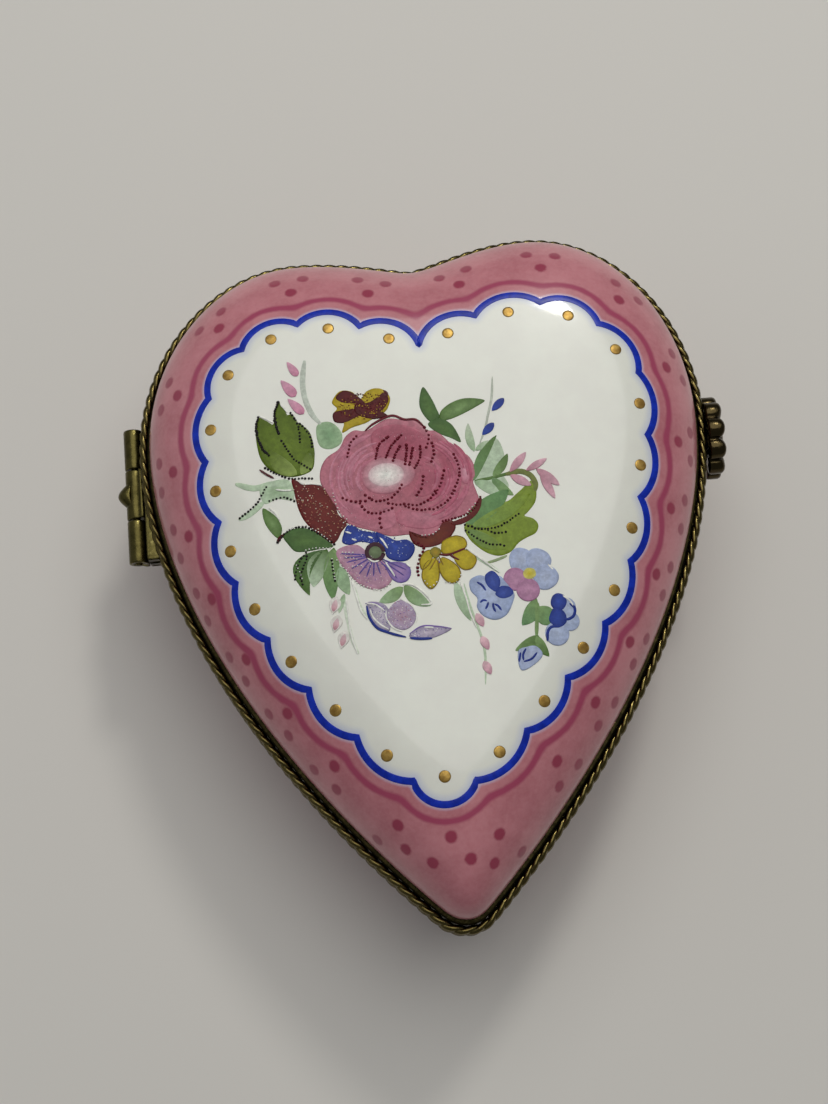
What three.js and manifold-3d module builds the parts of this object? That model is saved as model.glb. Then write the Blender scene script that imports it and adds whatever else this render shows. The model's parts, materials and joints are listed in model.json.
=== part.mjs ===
// Heart-shaped trinket box: a porcelain bowl and a domed porcelain lid, each set in a brass band with a
// twisted edge wire, joined by a three-knuckle hinge and held shut by a rosette clasp.
// Millimetres, +Z up. The box rests on z = 0, the hinge is on the -X side, the clasp on +X,
// the cleft of the heart points to +Y and the tip to -Y.
import * as THREE from 'three';
import { mergeVertices } from 'three/addons/utils/BufferGeometryUtils.js';
import Module from 'manifold-3d';

const wasm = await Module();
wasm.setup();

// ---- driving dimensions -------------------------------------------------------------------------
const CLEFT_Y = 29.7;
const TIP_Y = -32;
const SIDE_Y = 13.1;            // where the heart is widest
// the heart is modelled by hand, so its left lobe is a little smaller: the widest x, the lobe's highest
// point, and how far out the lobe's shoulder, the lower flank and the tip's corner pull the outline
const RIGHT = { side: 26.15, lobe: [11, 32], shoulder: 19.7, flank: 17.3, corner: 2.3 };
const LEFT = { side: -26.4, lobe: [-10.8, 31.3], shoulder: -18.9, flank: -17.9, corner: -2.6 };
const HEART_CENTRE = [0, 6];    // deepest point of the heart, where all its spokes meet

const WIRE_R = 0.5;             // edge wire
const BAND_D = 1.03;            // depth of the bands' outer face inside the outline
const BAND_T = 0.57;
const BAND_H = 2.25;
const LEDGE_T = 0.4;
const MATING_Z = 15;            // plane where lid and base meet
const MATING_GAP = 0.05;        // each side of the mating plane

const CHINA_D = 2;              // depth of the porcelain's outer face
const CHINA_T = 2.2;            // porcelain thickness
const CEMENT = 0.3;             // cement line between porcelain and ledge
const BULGE_D = 1.25;           // depth of the lid's widest line, which overhangs its band
const BULGE_Z = 18.2;
const SHOULDER_D = 9;           // depth where the lid's rounded shoulder ends
const LID_TOP = 25.5;
const CROWN_H = 2.2;            // rise from the shoulder's height to the middle of the lid

const COLLAR_D = 4.6;           // inner lip that centres the lid
const COLLAR_T = 0.4;
const COLLAR_Z = [12, 16.1];

const HINGE_X = -27.1;
const HINGE_Y = [3.8, 16.6];
const KNUCKLE_R = 0.88;
const KNUCKLE_SPLITS = [7.9, 12.7];
const KNUCKLE_GAP = 0.15;
const TAIL_T = 0.4;             // rolled sheet that runs from a knuckle along its plate
const PLATE_REACH = 0.93;       // from the hinge axis to the plates' outer face
const PIN_R = 0.35;
const PIN_BORE_R = 0.42;
const LUG_Y = 10.3;
const LUG_W = 1.7;
const LUG_REACH = 1.62;

const CLASP_Y = 11.5;
const ROSETTE_R = 3.9;
const ROSETTE_Z = 14.25;
const ROSETTE_X = 26.3;         // back face of the rosette
const ROSETTE_T = 1.4;
const ROSETTE_BORE_R = 0.75;
const PETALS = 10;
const PETAL_STEPS = 7;
const RIVET_REACH = 28.05;
const RIVET_R = 0.45;
const RIVET_HEAD_R = 1.3;
const TONGUE_W = 3;
const TONGUE_X = [25.2, 26.2];
const TONGUE_T = 0.5;           // thickness of the tongue's free end
const BEAD_R = 0.55;
const BEAD_H = 0.45;

const SOLDER = 0.05;            // gap between soldered brass pieces
const FACETS = 20;              // sides of small round pieces
const WIRE_FACETS = 8;

// ---- the heart's outline and its depth field ----------------------------------------------------
// one half, from the cleft to the tip; finer multiplies the number of points
function halfOutline({ side, lobe, shoulder, flank, corner }, finer) {
  const curves = [
    [[0, CLEFT_Y], [lobe[0] * 0.22, CLEFT_Y + 0.5], [lobe[0] * 0.59, lobe[1]], lobe, 5],
    [lobe, [shoulder, lobe[1]], [side, 23.2], [side, SIDE_Y], 11],
    [[side, SIDE_Y], [side, 0.1], [flank, -16.2], [corner, TIP_Y + 0.95], 14],
    [[corner, TIP_Y + 0.95], [corner * 0.7, TIP_Y + 0.25], [corner * 0.3, TIP_Y], [0, TIP_Y], 2],
  ];
  return curves.flatMap(([...corners], i) => {
    const steps = corners.pop();
    const curve = new THREE.CubicBezierCurve(...corners.map((p) => new THREE.Vector2(...p)));
    return curve.getPoints(steps * finer).slice(i === 0 ? 0 : 1);
  });
}

// the whole outline, anticlockwise from the cleft
function outline(finer) {
  const right = halfOutline(RIGHT, finer);
  const left = halfOutline(LEFT, finer);
  return [...left, ...right.slice(1, -1).reverse()];
}

const SPOKES = outline(1);
const FENCE = outline(12);

// smooth distance from the outline: it equals the true distance beside a straight edge,
// and rounds the corners off further in
function depthAt(x, y) {
  let sum = 0;
  FENCE.forEach((a, i) => {
    const b = FENCE[(i + 1) % FENCE.length];
    const r2 = (x - (a.x + b.x) / 2) ** 2 + (y - (a.y + b.y) / 2) ** 2;
    sum += a.distanceTo(b) / r2 ** 2;
  });
  return (2 * sum / Math.PI) ** (-1 / 3);
}

const MAX_DEPTH = depthAt(...HEART_CENTRE);

// the point on a spoke that lies at the given depth
function spokePoint(spoke, depth) {
  const at = (t) => [
    spoke.x + (HEART_CENTRE[0] - spoke.x) * t,
    spoke.y + (HEART_CENTRE[1] - spoke.y) * t,
  ];
  if (depth <= 0) return at(0);
  if (depth >= MAX_DEPTH) return at(1);
  let low = 0;
  let high = 1;
  for (let step = 0; step < 24; step += 1) {
    const mid = (low + high) / 2;
    if (depthAt(...at(mid)) < depth) low = mid;
    else high = mid;
  }
  return at((low + high) / 2);
}

const rings = new Map();
function contour(depth) {
  const key = depth.toFixed(4);
  if (!rings.has(key)) rings.set(key, SPOKES.map((spoke) => spokePoint(spoke, depth)));
  return rings.get(key);
}

// A lathe whose circles are bent to the heart: profile points are [depth, z], from the middle of the
// underside, out, up and back to the middle of the top, or a loop that closes on itself.
function heartLathe(profile) {
  const turned = profile.map(([depth, z]) => new THREE.Vector2(MAX_DEPTH - depth, z));
  const geometry = new THREE.LatheGeometry(turned, SPOKES.length);
  const position = geometry.attributes.position;
  for (let i = 0; i < position.count; i += 1) {
    const [depth, z] = profile[i % profile.length];
    const spoke = Math.floor(i / profile.length) % SPOKES.length;
    const [x, y] = contour(depth)[spoke];
    position.setXYZ(i, x, y, z);
  }
  return welded(geometry);
}

// shared vertices merged and triangles without area dropped
function welded(geometry) {
  const plain = geometry.clone();
  plain.deleteAttribute('normal');
  plain.deleteAttribute('uv');
  const merged = mergeVertices(plain, 1e-5);
  const index = [...merged.index.array];
  const kept = [];
  for (let i = 0; i < index.length; i += 3) {
    const [a, b, c] = index.slice(i, i + 3);
    if (a !== b && b !== c && c !== a) kept.push(a, b, c);
  }
  merged.setIndex(kept);
  return merged;
}

function solid(geometry) {
  const merged = welded(geometry);
  return new wasm.Manifold(new wasm.Mesh({
    numProp: 3,
    vertProperties: new Float32Array(merged.attributes.position.array),
    triVerts: new Uint32Array(merged.index.array),
  }));
}

function fromSolid(manifold) {
  const mesh = manifold.getMesh();
  const geometry = new THREE.BufferGeometry();
  geometry.setAttribute('position', new THREE.BufferAttribute(mesh.vertProperties, 3));
  geometry.setIndex(new THREE.BufferAttribute(mesh.triVerts, 1));
  return geometry;
}

function box(x, y, z) {
  const geometry = new THREE.BoxGeometry(x[1] - x[0], y[1] - y[0], z[1] - z[0]);
  return geometry.translate((x[0] + x[1]) / 2, (y[0] + y[1]) / 2, (z[0] + z[1]) / 2);
}

// a shape drawn in the x, z plane and run along y
function alongY(shape, y) {
  const geometry = new THREE.ExtrudeGeometry(shape, {
    depth: y[1] - y[0],
    bevelEnabled: false,
    curveSegments: FACETS / 2,
  });
  return geometry.rotateX(Math.PI / 2).translate(0, y[1], 0);
}

function rounded(x, y, radius, clockwise = false) {
  const path = clockwise ? new THREE.Path() : new THREE.Shape();
  return path.absarc(x, y, radius, 0, Math.PI * 2, clockwise);
}

// ---- porcelain ----------------------------------------------------------------------------------
const crownRise = (depth) => Math.sin(Math.PI / 2 * (depth - BULGE_D) / (MAX_DEPTH - BULGE_D));

function baseBowl() {
  const rim = MATING_Z - MATING_GAP - LEDGE_T - CEMENT;
  return heartLathe([
    [MAX_DEPTH, 1], [8.4, 1], [8, 0], [6.4, 0], [5.6, 0.8], [4.2, 2.5], [3, 5.4], [2.35, 9],
    [CHINA_D + 0.04, 12], [CHINA_D, rim], [CHINA_D + CHINA_T, rim],
    [4.35, 9], [5, 6], [6.4, 4], [8.6, 3.3], [MAX_DEPTH, 3.2],
  ]);
}

function lidDome() {
  const rim = MATING_Z + MATING_GAP + LEDGE_T + CEMENT;
  const bandTop = MATING_Z + MATING_GAP + BAND_H;
  const rise = LID_TOP - CROWN_H - BULGE_Z;
  const turns = [0, 15, 30, 45, 60, 75, 90].map(THREE.MathUtils.degToRad);
  const shoulder = (depth, height) => turns.map((a) => {
    const d = depth + (SHOULDER_D - depth) * (1 - Math.cos(a));
    return [d, BULGE_Z + height * Math.sin(a) + CROWN_H * crownRise(d)];
  });
  const crown = [12.5, BULGE_Z + rise + CROWN_H * crownRise(12.5)];
  const outer = [[CHINA_D, bandTop + 0.1], [BULGE_D + 0.3, bandTop + 0.3],
    ...shoulder(BULGE_D, rise), crown, [MAX_DEPTH, LID_TOP]];
  const inner = [[MAX_DEPTH, LID_TOP - CHINA_T], [crown[0], crown[1] - CHINA_T],
    ...shoulder(CHINA_D + CHINA_T - 0.4, rise - CHINA_T).reverse()];
  return heartLathe([...inner, [CHINA_D + CHINA_T, rim], [CHINA_D, rim], ...outer]);
}

// ---- brass bands, edge wires and collar ---------------------------------------------------------
// up is 1 for the lid and -1 for the base; the band is an L with its ledge at the mating plane
function band(up) {
  const z = (rise) => MATING_Z + up * (MATING_GAP + rise);
  const inner = BAND_D + BAND_T;
  const reach = up > 0 ? CHINA_D + CHINA_T : COLLAR_D - 0.1;
  const profile = [[reach, z(0)], [BAND_D, z(0)], [BAND_D, z(BAND_H)], [inner, z(BAND_H)],
    [inner, z(LEDGE_T)], [reach, z(LEDGE_T)], [reach, z(0)]];
  return heartLathe(up > 0 ? profile : profile.reverse());
}

function edgeWire(up) {
  const centre = MATING_Z + up * (MATING_GAP + BAND_H - WIRE_R);
  const profile = [];
  for (let i = 0; i < WIRE_FACETS; i += 1) {
    const angle = -2 * Math.PI * i / WIRE_FACETS;
    profile.push([WIRE_R + WIRE_R * Math.cos(angle), centre + WIRE_R * Math.sin(angle)]);
  }
  profile.push(profile[0]);
  return heartLathe(profile);
}

function baseCollar() {
  const inner = COLLAR_D + COLLAR_T;
  return heartLathe([[inner, COLLAR_Z[0]], [COLLAR_D, COLLAR_Z[0]], [COLLAR_D, COLLAR_Z[1]],
    [inner, COLLAR_Z[1]], [inner, COLLAR_Z[0]]]);
}

// ---- hinge --------------------------------------------------------------------------------------
// tube rolled from sheet whose tail runs down (up = -1) or up (up = 1) along the plate
function knuckle(up, y) {
  const tail = BAND_H - 2 * WIRE_R;
  const shape = new THREE.Shape();
  const start = Math.acos((KNUCKLE_R - TAIL_T) / KNUCKLE_R);
  shape.moveTo(KNUCKLE_R, 0);
  shape.lineTo(KNUCKLE_R, tail);
  shape.lineTo(KNUCKLE_R - TAIL_T, tail);
  shape.lineTo(KNUCKLE_R - TAIL_T, KNUCKLE_R * Math.sin(start));
  shape.absarc(0, 0, KNUCKLE_R, start, Math.PI * 2, false);
  shape.holes.push(rounded(0, 0, PIN_BORE_R, true));
  const geometry = alongY(shape, y);
  if (up < 0) geometry.rotateX(Math.PI).translate(0, y[0] + y[1], 0);
  return geometry.translate(HINGE_X, 0, MATING_Z);
}

function hingePlate(up) {
  const tail = MATING_GAP + BAND_H - 2 * WIRE_R - SOLDER;
  const ends = [MATING_Z + up * 2 * MATING_GAP, MATING_Z + up * tail].sort((a, b) => a - b);
  const block = solid(box([HINGE_X + PLATE_REACH, LEFT.side + 3.5], HINGE_Y, ends));
  const inside = BAND_D - SOLDER;
  const bandSpace = solid(heartLathe([[MAX_DEPTH, 0], [inside, 0], [inside, 30], [MAX_DEPTH, 30]]));
  return fromSolid(block.subtract(bandSpace));
}

function hingePin() {
  const length = HINGE_Y[1] - HINGE_Y[0] + 0.3;
  const pin = new THREE.CylinderGeometry(PIN_R, PIN_R, length, FACETS);
  return pin.translate(HINGE_X, (HINGE_Y[0] + HINGE_Y[1]) / 2, MATING_Z);
}

// rounded block on the lid's knuckle, which meets the base's hinge plate when the lid is fully open
function stopLug() {
  const shape = new THREE.Shape();
  const root = KNUCKLE_R + SOLDER;
  shape.absellipse(-root, LUG_Y, LUG_REACH - root, LUG_W / 2, Math.PI / 2, Math.PI * 3 / 2);
  const geometry = new THREE.ExtrudeGeometry(shape, { depth: 1, bevelEnabled: false, curveSegments: 8 });
  return geometry.translate(HINGE_X, 0, MATING_Z - 0.5);
}

// ---- clasp --------------------------------------------------------------------------------------
function rosette() {
  const shape = new THREE.Shape();
  const edge = 0.2;
  const steps = PETALS * PETAL_STEPS;
  for (let i = 0; i < steps; i += 1) {
    const angle = 2 * Math.PI * i / steps;
    const lobe = Math.abs(Math.sin(angle * PETALS / 2));
    const radius = (ROSETTE_R - edge) * (0.86 + 0.14 * lobe ** 0.7);
    const point = [radius * Math.cos(angle), radius * Math.sin(angle)];
    if (i === 0) shape.moveTo(...point);
    else shape.lineTo(...point);
  }
  shape.holes.push(rounded(0, 0, ROSETTE_BORE_R, true));
  const geometry = new THREE.ExtrudeGeometry(shape, {
    depth: ROSETTE_T - 2 * edge,
    bevelThickness: edge,
    bevelSize: edge,
    bevelSegments: 1,
    curveSegments: FACETS / 2,
  });
  geometry.translate(0, 0, edge).rotateY(Math.PI / 2);
  return geometry.translate(ROSETTE_X, CLASP_Y, ROSETTE_Z);
}

function claspRivet() {
  const back = TONGUE_X[1] + SOLDER - ROSETTE_X;
  const front = RIVET_REACH - ROSETTE_X;
  const neck = ROSETTE_T + SOLDER;
  const profile = [[0, back], [RIVET_R, back], [RIVET_R, neck], [RIVET_HEAD_R, neck],
    [RIVET_HEAD_R * 0.7, (neck + front) / 2 + 0.07], [0, front]];
  const geometry = new THREE.LatheGeometry(profile.map((p) => new THREE.Vector2(...p)), FACETS);
  return geometry.rotateZ(-Math.PI / 2).translate(ROSETTE_X, CLASP_Y, ROSETTE_Z);
}

// spring strip soldered to the lid band; its free end reaches down over the catch bead
function claspTongue() {
  const low = MATING_Z - MATING_GAP - BAND_H + 2 * WIRE_R + SOLDER;
  const high = MATING_Z + MATING_GAP + BAND_H - 2 * WIRE_R - SOLDER;
  const free = TONGUE_X[1] - TONGUE_T;
  const shape = new THREE.Shape();
  shape.moveTo(TONGUE_X[0], high);
  shape.lineTo(TONGUE_X[0], MATING_Z + MATING_GAP);
  shape.lineTo(free, MATING_Z - 0.2);
  shape.lineTo(free, low);
  shape.lineTo(TONGUE_X[1], low);
  shape.lineTo(TONGUE_X[1], high);
  return alongY(shape, [CLASP_Y - TONGUE_W / 2, CLASP_Y + TONGUE_W / 2]);
}

// half-round bead on the base band
function catchBead() {
  const profile = [[0, 0], [BEAD_R, 0], [BEAD_R * 0.8, BEAD_H * 0.6], [BEAD_R * 0.4, BEAD_H * 0.9],
    [0, BEAD_H]];
  const geometry = new THREE.LatheGeometry(profile.map((p) => new THREE.Vector2(...p)), FACETS);
  return geometry.rotateZ(-Math.PI / 2).translate(TONGUE_X[0], CLASP_Y, MATING_Z - 0.65);
}

// ---- materials and assembly ---------------------------------------------------------------------
const china = (color) => new THREE.MeshStandardMaterial({ color, roughness: 0.12, metalness: 0 });
const brass = (color) => new THREE.MeshStandardMaterial({ color, roughness: 0.4, metalness: 1 });

function part(name, geometry, material) {
  const mesh = new THREE.Mesh(geometry, material);
  mesh.name = name;
  return mesh;
}

function base() {
  const group = new THREE.Group();
  const rear = [KNUCKLE_SPLITS[1] + KNUCKLE_GAP / 2, HINGE_Y[1]];
  const front = [HINGE_Y[0], KNUCKLE_SPLITS[0] - KNUCKLE_GAP / 2];
  group.add(part('base_bowl', baseBowl(), china(0xb57a88)));
  group.add(part('base_band', band(-1), brass(0x6b5a30)));
  group.add(part('base_edge_wire', edgeWire(-1), brass(0x8a7440)));
  group.add(part('base_collar', baseCollar(), brass(0x8a7440)));
  group.add(part('hinge_base_plate', hingePlate(-1), brass(0x6b5a30)));
  group.add(part('hinge_knuckle_rear', knuckle(-1, rear), brass(0x6b5a30)));
  group.add(part('hinge_knuckle_front', knuckle(-1, front), brass(0x6b5a30)));
  group.add(part('hinge_pin', hingePin(), brass(0x8a7440)));
  group.add(part('catch_bead', catchBead(), brass(0x8a7440)));
  return group;
}

function lid() {
  const group = new THREE.Group();
  const middle = [KNUCKLE_SPLITS[0] + KNUCKLE_GAP / 2, KNUCKLE_SPLITS[1] - KNUCKLE_GAP / 2];
  group.add(part('lid_dome', lidDome(), china(0xe8e8e0)));
  group.add(part('lid_band', band(1), brass(0x6b5a30)));
  group.add(part('lid_edge_wire', edgeWire(1), brass(0x8a7440)));
  group.add(part('hinge_lid_plate', hingePlate(1), brass(0x6b5a30)));
  group.add(part('hinge_knuckle_lid', knuckle(1, middle), brass(0x7a6838)));
  group.add(part('hinge_stop_lug', stopLug(), brass(0x7a6838)));
  group.add(part('clasp_tongue', claspTongue(), brass(0x6b5a30)));
  group.add(part('clasp_rosette', rosette(), brass(0x4a3f22)));
  group.add(part('clasp_rivet', claspRivet(), brass(0x6b5a30)));
  return group;
}

// the origin is under the middle of the whole box, stop lug and rivet included
const trinketBox = new THREE.Group();
trinketBox.add(base(), lid());
trinketBox.position.x = (LUG_REACH - HINGE_X - RIVET_REACH) / 2;

export default trinketBox;
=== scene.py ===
"""A heart-shaped porcelain trinket box: the fine surfaces, the painting and the metalwork that ride on the
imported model. Shapes are worked out in millimetres and become metres when a mesh is made."""
import json
import math
import random

import bpy
import numpy as np
from mathutils import Matrix, Vector


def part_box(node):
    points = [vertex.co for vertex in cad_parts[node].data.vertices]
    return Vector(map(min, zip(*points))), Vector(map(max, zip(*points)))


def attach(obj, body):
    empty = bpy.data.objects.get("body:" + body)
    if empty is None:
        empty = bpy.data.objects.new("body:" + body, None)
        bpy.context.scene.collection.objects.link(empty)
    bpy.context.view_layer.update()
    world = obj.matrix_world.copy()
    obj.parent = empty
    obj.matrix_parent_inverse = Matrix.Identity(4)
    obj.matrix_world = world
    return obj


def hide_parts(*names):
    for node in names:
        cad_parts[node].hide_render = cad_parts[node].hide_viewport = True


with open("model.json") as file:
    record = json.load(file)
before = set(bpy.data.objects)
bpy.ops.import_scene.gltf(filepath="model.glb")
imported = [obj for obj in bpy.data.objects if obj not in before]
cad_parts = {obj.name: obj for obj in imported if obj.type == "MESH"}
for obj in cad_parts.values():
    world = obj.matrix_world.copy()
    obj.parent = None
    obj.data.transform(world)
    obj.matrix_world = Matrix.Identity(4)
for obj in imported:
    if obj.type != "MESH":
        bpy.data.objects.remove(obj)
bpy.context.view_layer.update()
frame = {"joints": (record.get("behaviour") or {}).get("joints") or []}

MM = 0.001
random.seed(7)


# ---- sizes in millimetres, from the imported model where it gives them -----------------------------
def node_box(node):
    low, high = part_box(node)
    return np.array(low) / MM, np.array(high) / MM


WIRE_LOW, WIRE_HIGH = node_box("lid_edge_wire")
HINGE = np.array(frame["joints"][0]["pos_m"]) / MM
HINGE_OUT = 27.1                # from the heart's own axis to the hinge's
MIDDLE_X = HINGE[0] + HINGE_OUT
MATING_Z, MATING_GAP = 15, 0.05     # the plane where the halves meet, and each half's distance from it
WIRE_D = 0.46                   # depth of the edge wires' middle inside the outline
BAND_D, BAND_T = 0.85, 0.75     # depth of the bands' outer face, and their thickness
LOBE_TOP, TIP = WIRE_HIGH[1], WIRE_LOW[1]
LID_RIM, LID_TOP = node_box("lid_dome")[0][2], node_box("lid_dome")[1][2]
BOWL_RIM = node_box("base_bowl")[1][2]

SIDE_Y = 13.1                   # where the heart is widest
CLEFT = 29.7
# the heart's halves: its widest x, the lobe's highest point, and how far out the lobe's shoulder, the lower
# flank and the tip's corner pull the outline
HALVES = ((WIRE_HIGH[0] - MIDDLE_X, (11.0, LOBE_TOP), 19.7, 17.3, 2.3),
          (WIRE_LOW[0] - MIDDLE_X, (-10.8, LOBE_TOP - 0.7), -18.9, -17.9, -2.6))
CENTRE = np.array([0.0, 6.0])   # deepest point of the heart
CHINA_T = 2.2                   # thickness of the porcelain
BULGE_D, BULGE_Z = 1.25, 18.2   # widest line of the lid, which overhangs its band
SHOULDER_D = 9.0                # depth where the lid's rounded shoulder ends
CROWN = 2.2                     # further rise to the middle of the lid
SPOKES = 600


# ---- the heart's outline and its depth field -----------------------------------------------------
def bezier(a, b, c, d):
    t = np.linspace(0, 1, 60, endpoint=False)[:, None]
    a, b, c, d = (np.array(p, float) for p in (a, b, c, d))
    return (1 - t) ** 3 * a + 3 * (1 - t) ** 2 * t * b + 3 * (1 - t) * t ** 2 * c + t ** 3 * d


def even(points, count, closed=True):
    """count points evenly spaced along a polyline."""
    points = np.asarray(points, float)
    line = np.vstack([points, points[:1]]) if closed else points
    run = np.concatenate([[0], np.cumsum(np.linalg.norm(np.diff(line, axis=0), axis=1))])
    stops = np.linspace(0, run[-1], count, endpoint=not closed)
    return np.stack([np.interp(stops, run, line[:, k]) for k in range(line.shape[1])], axis=1)


def half_outline(side, lobe, shoulder, flank, corner):
    """One half of the heart, from the cleft to the tip."""
    return np.vstack([
        bezier((0, CLEFT), (lobe[0] * 0.22, CLEFT + 0.5), (lobe[0] * 0.59, lobe[1]), lobe),
        bezier(lobe, (shoulder, lobe[1]), (side, 23.2), (side, SIDE_Y)),
        bezier((side, SIDE_Y), (side, 0.1), (flank, -16.2), (corner, TIP + 0.95)),
        bezier((corner, TIP + 0.95), (corner * 0.7, TIP + 0.25), (corner * 0.3, TIP), (0, TIP)),
        [[0, TIP]]])


def heart_outline():
    right, left = (half_outline(*half) for half in HALVES)
    return np.vstack([right, left[-2:0:-1]])[::-1]


def spans(fence):
    """The middles and lengths of a closed line's spans."""
    after = np.roll(fence, -1, axis=0)
    return (fence + after) / 2, np.linalg.norm(after - fence, axis=1)


def piecewise(measure, points, part=4000):
    """measure worked out for a part of the points at a time, so that its arrays stay small."""
    return np.concatenate([measure(points[start:start + part]) for start in range(0, len(points), part)])


def squares(points, targets):
    return ((points[:, None] - targets[None]) ** 2).sum(2)


def smooth_depth(xy, fence):
    """Distance from a closed line, exact beside straight edges and rounding the corners off further in."""
    middle, length = spans(fence)
    return piecewise(lambda part: (2 / math.pi * (length / squares(part, middle) ** 2).sum(1)) ** (-1 / 3),
                     xy)


def soft_distance(xy, fence):
    """Distance to a line, with the corners of its contours rounded off."""
    middle, length = spans(fence)
    found = piecewise(lambda part: (length / (squares(part, middle) + 0.01) ** 3.0).sum(1), xy)
    return (found * 8 / (3 * math.pi)) ** (-1 / 5)


def nearest(points, targets):
    return piecewise(lambda part: np.sqrt(squares(part, targets).min(1)), points)


OUTLINE = even(heart_outline(), 900)
SPOKE_FOOT = even(OUTLINE, SPOKES)
REACH = np.linspace(0, 1, 70) ** 1.4
SPOKE_XY = SPOKE_FOOT[:, None] * (1 - REACH[:, None]) + CENTRE * REACH[:, None]
SPOKE_DEPTH = smooth_depth(SPOKE_XY.reshape(-1, 2), OUTLINE).reshape(SPOKES, -1)
SPOKE_DEPTH[:, 0] = 0
DEEPEST = SPOKE_DEPTH[0, -1]


def rings(depths):
    """Where every spoke crosses the given depths, as (spokes, depths, 2)."""
    t = np.array([np.interp(depths, row, REACH) for row in SPOKE_DEPTH])[..., None]
    return SPOKE_FOOT[:, None] * (1 - t) + CENTRE * t


# ---- meshes --------------------------------------------------------------------------------------
def lattice(rows, columns, wrap_rows=False, wrap_columns=False):
    """Quads over a grid of vertices numbered row by row."""
    i = np.arange(rows if wrap_rows else rows - 1)
    j = np.arange(columns if wrap_columns else columns - 1)
    i, j = np.meshgrid(i, j, indexing="ij")
    after_i, after_j = (i + 1) % rows, (j + 1) % columns
    corners = [i * columns + j, after_i * columns + j, after_i * columns + after_j, i * columns + after_j]
    return [tuple(face) for face in np.stack([c.ravel() for c in corners], axis=1).tolist()]


def capped(rows, columns):
    """Faces of a tube of closed rows, with a face over each end."""
    ends = [tuple(range(columns))[::-1], tuple(range((rows - 1) * columns, rows * columns))]
    return lattice(rows, columns, wrap_columns=True) + ends


def volume(verts, faces):
    a, b, c = (verts[[f[k] for f in faces]] for k in (0, 1, 2))
    total = np.einsum("ij,ij->i", a, np.cross(b, c)).sum()
    quads = [f for f in faces if len(f) == 4]
    if quads:
        a, b, c = (verts[[f[k] for f in quads]] for k in (0, 2, 3))
        total += np.einsum("ij,ij->i", a, np.cross(b, c)).sum()
    return total


def add_piece(name, verts, faces, body, material, stands_for=(), fields=None, centred=True):
    """A closed mesh in millimetres becomes a piece that rides on a body. Faces are turned outwards."""
    verts = np.asarray(verts, float)
    if centred:
        verts = verts + (MIDDLE_X, 0, 0)
    if volume(verts - verts.mean(0), faces) < 0:
        faces = [f[::-1] for f in faces]
    mesh = bpy.data.meshes.new(name)
    mesh.from_pydata((verts * MM).tolist(), [], faces)
    mesh.polygons.foreach_set("use_smooth", [True] * len(faces))
    for field, values in (fields or {}).items():
        values = np.asarray(values, np.float32)
        if values.ndim == 1:
            mesh.attributes.new(field, "FLOAT", "POINT").data.foreach_set("value", values)
        else:
            colours = np.hstack([values, np.ones((len(values), 1), np.float32)])
            mesh.attributes.new(field, "FLOAT_COLOR", "POINT").data.foreach_set("color", colours.ravel())
    mesh.update()
    piece = bpy.data.objects.new(name, mesh)
    bpy.context.scene.collection.objects.link(piece)
    mesh.materials.append(material)
    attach(piece, body)
    if stands_for:
        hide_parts(*stands_for)
    return piece


def heart_lathe(profile):
    """A profile of (depth, z) points run round the heart. It closes on itself, or with one vertex at each end
    where it starts and ends at the heart's centre."""
    profile = np.asarray(profile, float)
    through = profile[0, 0] >= DEEPEST
    body = profile[1:-1] if through else profile
    xy = rings(body[:, 0])
    rows, columns = xy.shape[:2]
    z = np.broadcast_to(body[:, 1], (rows, columns))
    verts = np.dstack([xy, z]).reshape(-1, 3)
    faces = lattice(rows, columns, wrap_rows=True, wrap_columns=not through)
    if through:
        first, last = len(verts), len(verts) + 1
        verts = np.vstack([verts, [[*CENTRE, profile[0, 1]], [*CENTRE, profile[-1, 1]]]])
        for i in range(rows):
            here, after = i * columns, (i + 1) % rows * columns
            faces.append((first, after, here))
            faces.append((last, here + columns - 1, after + columns - 1))
    return verts, faces


def smooth_line(points, per_span, closed=False):
    """A Catmull-Rom curve through the points."""
    points = np.asarray(points, float)
    ends = [points[-1:], points[:2]] if closed else [2 * points[:1] - points[1:2],
                                                     2 * points[-1:] - points[-2:-1]]
    p = np.vstack([ends[0], points, ends[1]])
    t = np.linspace(0, 1, per_span, endpoint=False)[:, None]
    curve = []
    for a, b, c, d in zip(p, p[1:], p[2:], p[3:]):
        curve.append(0.5 * (2 * b + (c - a) * t + (2 * a - 5 * b + 4 * c - d) * t ** 2
                            + (3 * b - 3 * c + d - a) * t ** 3))
    if not closed:
        curve.append(points[-1:])
    return np.vstack(curve)


def rounded(corners, radius):
    """A closed profile whose corners are rounded off."""
    corners = np.asarray(corners, float)
    out = []
    for before, here, after in zip(np.roll(corners, 1, 0), corners, np.roll(corners, -1, 0)):
        to_before, to_after = before - here, after - here
        cut = min(radius, np.linalg.norm(to_before) * 0.45, np.linalg.norm(to_after) * 0.45)
        a = here + to_before / np.linalg.norm(to_before) * cut
        c = here + to_after / np.linalg.norm(to_after) * cut
        for t in np.linspace(0, 1, 4):
            out.append((1 - t) ** 2 * a + 2 * (1 - t) * t * here + t ** 2 * c)
    return np.array(out)


def tube(path, radius, sides):
    """A round tube along a closed path of 3-D points."""
    along = np.roll(path, -1, 0) - np.roll(path, 1, 0)
    along /= np.linalg.norm(along, axis=1)[:, None]
    side = np.cross(along, (0, 0, 1.0))
    side /= np.linalg.norm(side, axis=1)[:, None]
    top = np.cross(side, along)
    angle = np.linspace(0, 2 * math.pi, sides, endpoint=False)[None, :, None]
    verts = path[:, None] + radius * (np.cos(angle) * side[:, None] + np.sin(angle) * top[:, None])
    return verts.reshape(-1, 3), lattice(len(path), sides, wrap_rows=True, wrap_columns=True)


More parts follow.
